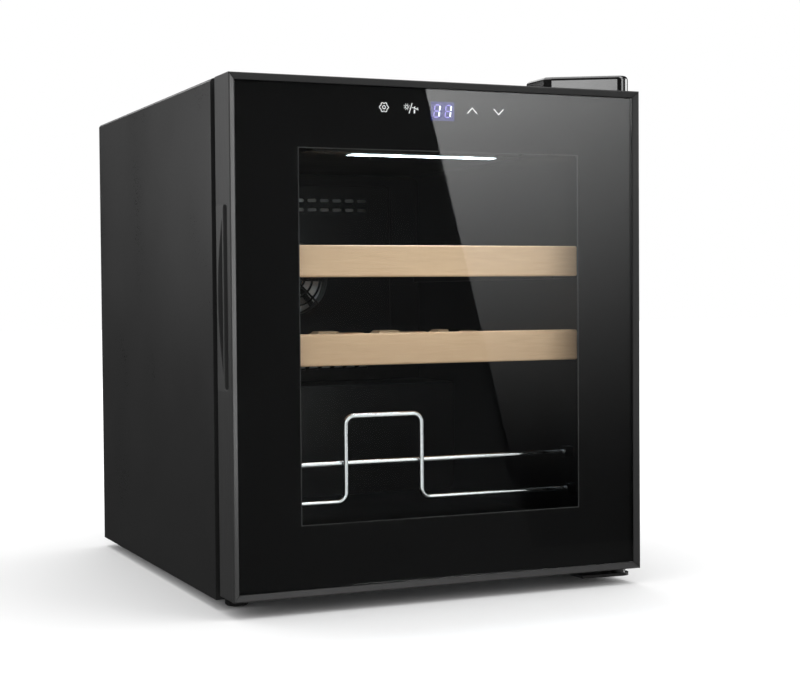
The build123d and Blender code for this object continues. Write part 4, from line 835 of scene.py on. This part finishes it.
def make_screw_tree():
    tree, given, result = new_group(
        "screws", "GeometryNodeTree",
        [
            ("Geometry", "NodeSocketGeometry", None), ("Head Radius", "NodeSocketFloat", 3.6 * MM),
            ("Head Height", "NodeSocketFloat", HEAD_HEIGHT), ("Cross Width", "NodeSocketFloat", 0.9 * MM),
            ("Shank Radius", "NodeSocketFloat", 1.9 * MM), ("Material", "NodeSocketMaterial", None),
        ],
        [("Geometry", "NodeSocketGeometry")],
    )
    tree.is_modifier = True
    head = chain(tree, "GeometryNodeMeshCone", Vertices=24, Radius_Bottom=given.outputs["Head Radius"],
                 Depth=given.outputs["Head Height"])
    crown = reckon(tree, "MULTIPLY", given.outputs["Head Radius"], CROWN_SHARE)
    tree.links.new(crown, head.inputs["Radius Top"])
    length = reckon(tree, "MULTIPLY", given.outputs["Head Radius"], CROSS_LENGTH_SHARE)
    deep = reckon(tree, "MULTIPLY", given.outputs["Head Height"], CROSS_DEPTH_SHARE)
    cuts = []
    for first, second in ((length, given.outputs["Cross Width"]), (given.outputs["Cross Width"], length)):
        size_of = chain(tree, "ShaderNodeCombineXYZ", X=first, Y=second, Z=deep)
        lift = chain(tree, "ShaderNodeCombineXYZ", Z=given.outputs["Head Height"])
        cut = chain(tree, "GeometryNodeMeshCube", Size=size_of.outputs["Vector"])
        raised = chain(tree, "GeometryNodeTransform", Geometry=cut.outputs["Mesh"],
                       Translation=lift.outputs["Vector"])
        cuts.append(raised.outputs["Geometry"])
    carved = head.outputs["Mesh"]
    for cut in cuts:
        boolean = add_node(tree, "GeometryNodeMeshBoolean", operation="DIFFERENCE")
        tree.links.new(carved, boolean.inputs["Mesh 1"])
        tree.links.new(cut, boolean.inputs["Mesh 2"])
        carved = boolean.outputs["Mesh"]
    shank = chain(tree, "GeometryNodeMeshCylinder", Vertices=16, Depth=1.0,
                  Radius=given.outputs["Shank Radius"])
    sunk = chain(tree, "GeometryNodeTransform", Geometry=shank.outputs["Mesh"], Translation=(0, 0, -0.5))
    facing = chain(tree, "GeometryNodeInputNamedAttribute", {"data_type": "FLOAT_VECTOR"}, Name="facing")
    reach = chain(tree, "GeometryNodeInputNamedAttribute", {"data_type": "FLOAT"}, Name="reach")
    turned = chain(tree, "FunctionNodeAlignRotationToVector", {"axis": "Z"})
    tree.links.new(facing.outputs["Attribute"], turned.inputs["Vector"])
    heads = chain(tree, "GeometryNodeInstanceOnPoints", Points=given.outputs["Geometry"], Instance=carved,
                  Rotation=turned.outputs["Rotation"])
    stretch = chain(tree, "ShaderNodeCombineXYZ", X=1.0, Y=1.0, Z=reach.outputs["Attribute"])
    shanks = chain(tree, "GeometryNodeInstanceOnPoints", Points=given.outputs["Geometry"],
                   Instance=sunk.outputs["Geometry"], Rotation=turned.outputs["Rotation"],
                   Scale=stretch.outputs["Vector"])
    joined = add_node(tree, "GeometryNodeJoinGeometry")
    tree.links.new(heads.outputs["Instances"], joined.inputs["Geometry"])
    tree.links.new(shanks.outputs["Instances"], joined.inputs["Geometry"])
    real = chain(tree, "GeometryNodeRealizeInstances", Geometry=joined.outputs["Geometry"])
    painted = chain(tree, "GeometryNodeSetMaterial", Geometry=real.outputs["Geometry"],
                    Material=given.outputs["Material"])
    tree.links.new(painted.outputs["Geometry"], result.inputs["Geometry"])
    return tree


def grown(name, seed_mesh, tree, **values):
    """Run a Geometry Nodes tree on a mesh and return the plain mesh that it makes."""
    holder = bpy.data.objects.new(name + "_seed", seed_mesh)
    scene.collection.objects.link(holder)
    modifier = holder.modifiers.new("nodes", "NODES")
    modifier.node_group = tree
    for item in tree.interface.items_tree:
        if item.in_out == "INPUT" and item.name in values:
            modifier[item.identifier] = values[item.name]
    holder.update_tag()
    settled = holder.evaluated_get(bpy.context.evaluated_depsgraph_get())
    mesh = bpy.data.meshes.new_from_object(settled)
    mesh.name = name
    bpy.data.objects.remove(holder)
    return mesh


screws_mesh = grown("cabinet_screw_set", screw_points, make_screw_tree(), Material=finishes["zinc_fastener"])
piece("cabinet_screw_set", screws_mesh, "zinc_fastener", "root", replaces=("cabinet_screws",))
print("screw faces", len(screws_mesh.polygons))


# %% [markdown]
# The stage is a white floor under soft lights. What a dark, glossy thing shows is mostly its
# surroundings, so the lights are placed where the reflections should be: one big screen far to the
# right fills the upper right of the glass, and it fades downwards and outwards.

# %% Floor
def plain_material(name, color, roughness):
    material = bpy.data.materials.new(name)
    material.use_nodes = True
    shader = material.node_tree.nodes["Principled BSDF"]
    shader.inputs["Base Color"].default_value = (*color, 1)
    shader.inputs["Roughness"].default_value = roughness
    return material


FLOOR_HALF = 12.0
floor = bpy.data.objects.new("floor", mesh_from(
    "floor",
    [
        (-FLOOR_HALF, -FLOOR_HALF, 0), (FLOOR_HALF, -FLOOR_HALF, 0),
        (FLOOR_HALF, FLOOR_HALF, 0), (-FLOOR_HALF, FLOOR_HALF, 0),
    ],
    [(0, 1, 2, 3)],
))
scene.collection.objects.link(floor)
floor.data.materials.append(plain_material("floor", (0.9, 0.9, 0.9), 1.0))
floor_tree = floor.data.materials[0].node_tree
floor_shader = floor_tree.nodes["Principled BSDF"]
floor_shader.inputs["Specular IOR Level"].default_value = 0.0
floor_place = add_node(floor_tree, "ShaderNodeTexCoord")
floor_reach = add_node(floor_tree, "ShaderNodeVectorMath", operation="LENGTH")
floor_tree.links.new(floor_place.outputs["Object"], floor_reach.inputs[0])
far_glow = spread(floor_tree, floor_reach.outputs["Value"], 0.7, 2.2, 0.0, 0.5)
floor_tree.links.new(far_glow, floor_shader.inputs["Emission Strength"])
floor_shader.inputs["Emission Color"].default_value = (1, 1, 1, 1)
floor.visible_glossy = False
floor.visible_transmission = False
print("floor", 2 * FLOOR_HALF, "m wide")


# %% [markdown]
# The screen is brightest at the left, where its edge draws a slanting line across the glass. It fades
# to the right and downwards, and neither the eye nor soft light sees it: only mirrors do.

# %% Screen that the glass reflects
def make_screen():
    material = bpy.data.materials.new("screen")
    material.use_nodes = True
    tree = material.node_tree
    tree.nodes.clear()
    place = add_node(tree, "ShaderNodeTexCoord")
    split = add_node(tree, "ShaderNodeSeparateXYZ")
    tree.links.new(place.outputs["Object"], split.inputs["Vector"])
    outward = spread(tree, split.outputs["X"], 0.94, 1.8, 2.7, 0.75)
    upward = reckon(tree, "POWER", spread(tree, split.outputs["Z"], -0.32, 0.75, 0.0, 1.0), 2.6)
    glow = add_node(tree, "ShaderNodeEmission")
    tree.links.new(reckon(tree, "MULTIPLY", outward, upward), glow.inputs["Strength"])
    output = add_node(tree, "ShaderNodeOutputMaterial")
    tree.links.new(glow.outputs["Emission"], output.inputs["Surface"])
    return material


SCREEN_Y = -2.2
screen = bpy.data.objects.new("screen", mesh_from(
    "screen",
    [(1.20, SCREEN_Y, -0.32), (1.9, SCREEN_Y, -0.32), (1.9, SCREEN_Y, 1.7), (0.685, SCREEN_Y, 1.7)],
    [(0, 1, 2, 3)],
))
scene.collection.objects.link(screen)
screen.data.materials.append(make_screen())
screen.visible_camera = False
screen.visible_diffuse = False
print("screen at y", SCREEN_Y)


# %% [markdown]
# Each light stands where one surface mirrors it towards the eye: behind on the left for the cabinet's
# side, in front for the hinge cover, above for the top bevel and at the right for the right one.

# %% Lights
def soft_light(name, place, target, width, height, power, color=(1, 1, 1)):
    """A rectangular studio light that faces a point."""
    data = bpy.data.lights.new(name, "AREA")
    data.shape = "RECTANGLE"
    data.size, data.size_y = width, height
    data.energy = power
    data.color = color
    light = bpy.data.objects.new(name, data)
    scene.collection.objects.link(light)
    light.location = place
    light.rotation_euler = (Vector(target) - Vector(place)).to_track_quat("-Z", "Y").to_euler()
    return light


middle = (0, 0, 0.25)
soft_light("rim_box", (-1.63, 1.72, 0.9), middle, 1.0, 1.2, 7)
soft_light("left_box", (-2.6, -0.6, 1.3), middle, 1.6, 2.2, 6)
soft_light("cover_box", (-1.25, -2.4, 0.92), (0.15, -0.2, 0.5), 0.8, 0.4, 2.2)
soft_light("bevel_box", (0.87, -1.1, 2.1), (0, -0.24, 0.48), 1.0, 0.8, 6)
soft_light("top_box", (0, 0.3, 3.0), middle, 3.0, 3.0, 36)
soft_light("right_box", (2.3, -0.45, 0.5), middle, 1.2, 1.4, 20)
soft_light("back_box", (0.4, 3.0, 2.0), middle, 2.0, 1.4, 14)
lens_low, lens_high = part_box("lamp_lens")
lens_middle = (lens_low + lens_high) / 2
soft_light(
    "lamp", (lens_middle.x, lens_middle.y, lens_low.z - MM), (lens_middle.x, lens_middle.y, 0),
    lens_high.x - lens_low.x, lens_high.y - lens_low.y, 0.45, (0.8, 0.91, 1.0),
)


# %% [markdown]
# The room answers each kind of ray differently. The eye sees white, soft light comes from all round,
# and mirrors see a dark studio, unless they stand behind the glass, where chrome needs something pale.

# %% Surroundings
SOFT_TONE, DARK_TONE, PALE_TONE = 0.85, 0.04, 1.1
world = bpy.data.worlds.new("studio")
scene.world = world
world.use_nodes = True
tree = world.node_tree
background = tree.nodes["Background"]
rays = add_node(tree, "ShaderNodeLightPath")
soft = reckon(tree, "GREATER_THAN", rays.outputs["Diffuse Depth"], 0.5)
mirrored = reckon(tree, "GREATER_THAN", rays.outputs["Glossy Depth"], 0.5)
inside = reckon(tree, "GREATER_THAN", rays.outputs["Transmission Depth"], 5.5)
touched = reckon(tree, "GREATER_THAN", rays.outputs["Transmission Depth"], 0.5)
mirror_tone = spread(tree, touched, 0, 1, DARK_TONE, 0.0)
mirror_tone = spread(tree, inside, 0, 1, mirror_tone, PALE_TONE)
tone = spread(tree, soft, 0, 1, 1.0, SOFT_TONE)
tone = spread(tree, mirrored, 0, 1, tone, mirror_tone)
tree.links.new(tone, background.inputs["Strength"])
background.inputs["Color"].default_value = (1, 1, 1, 1)
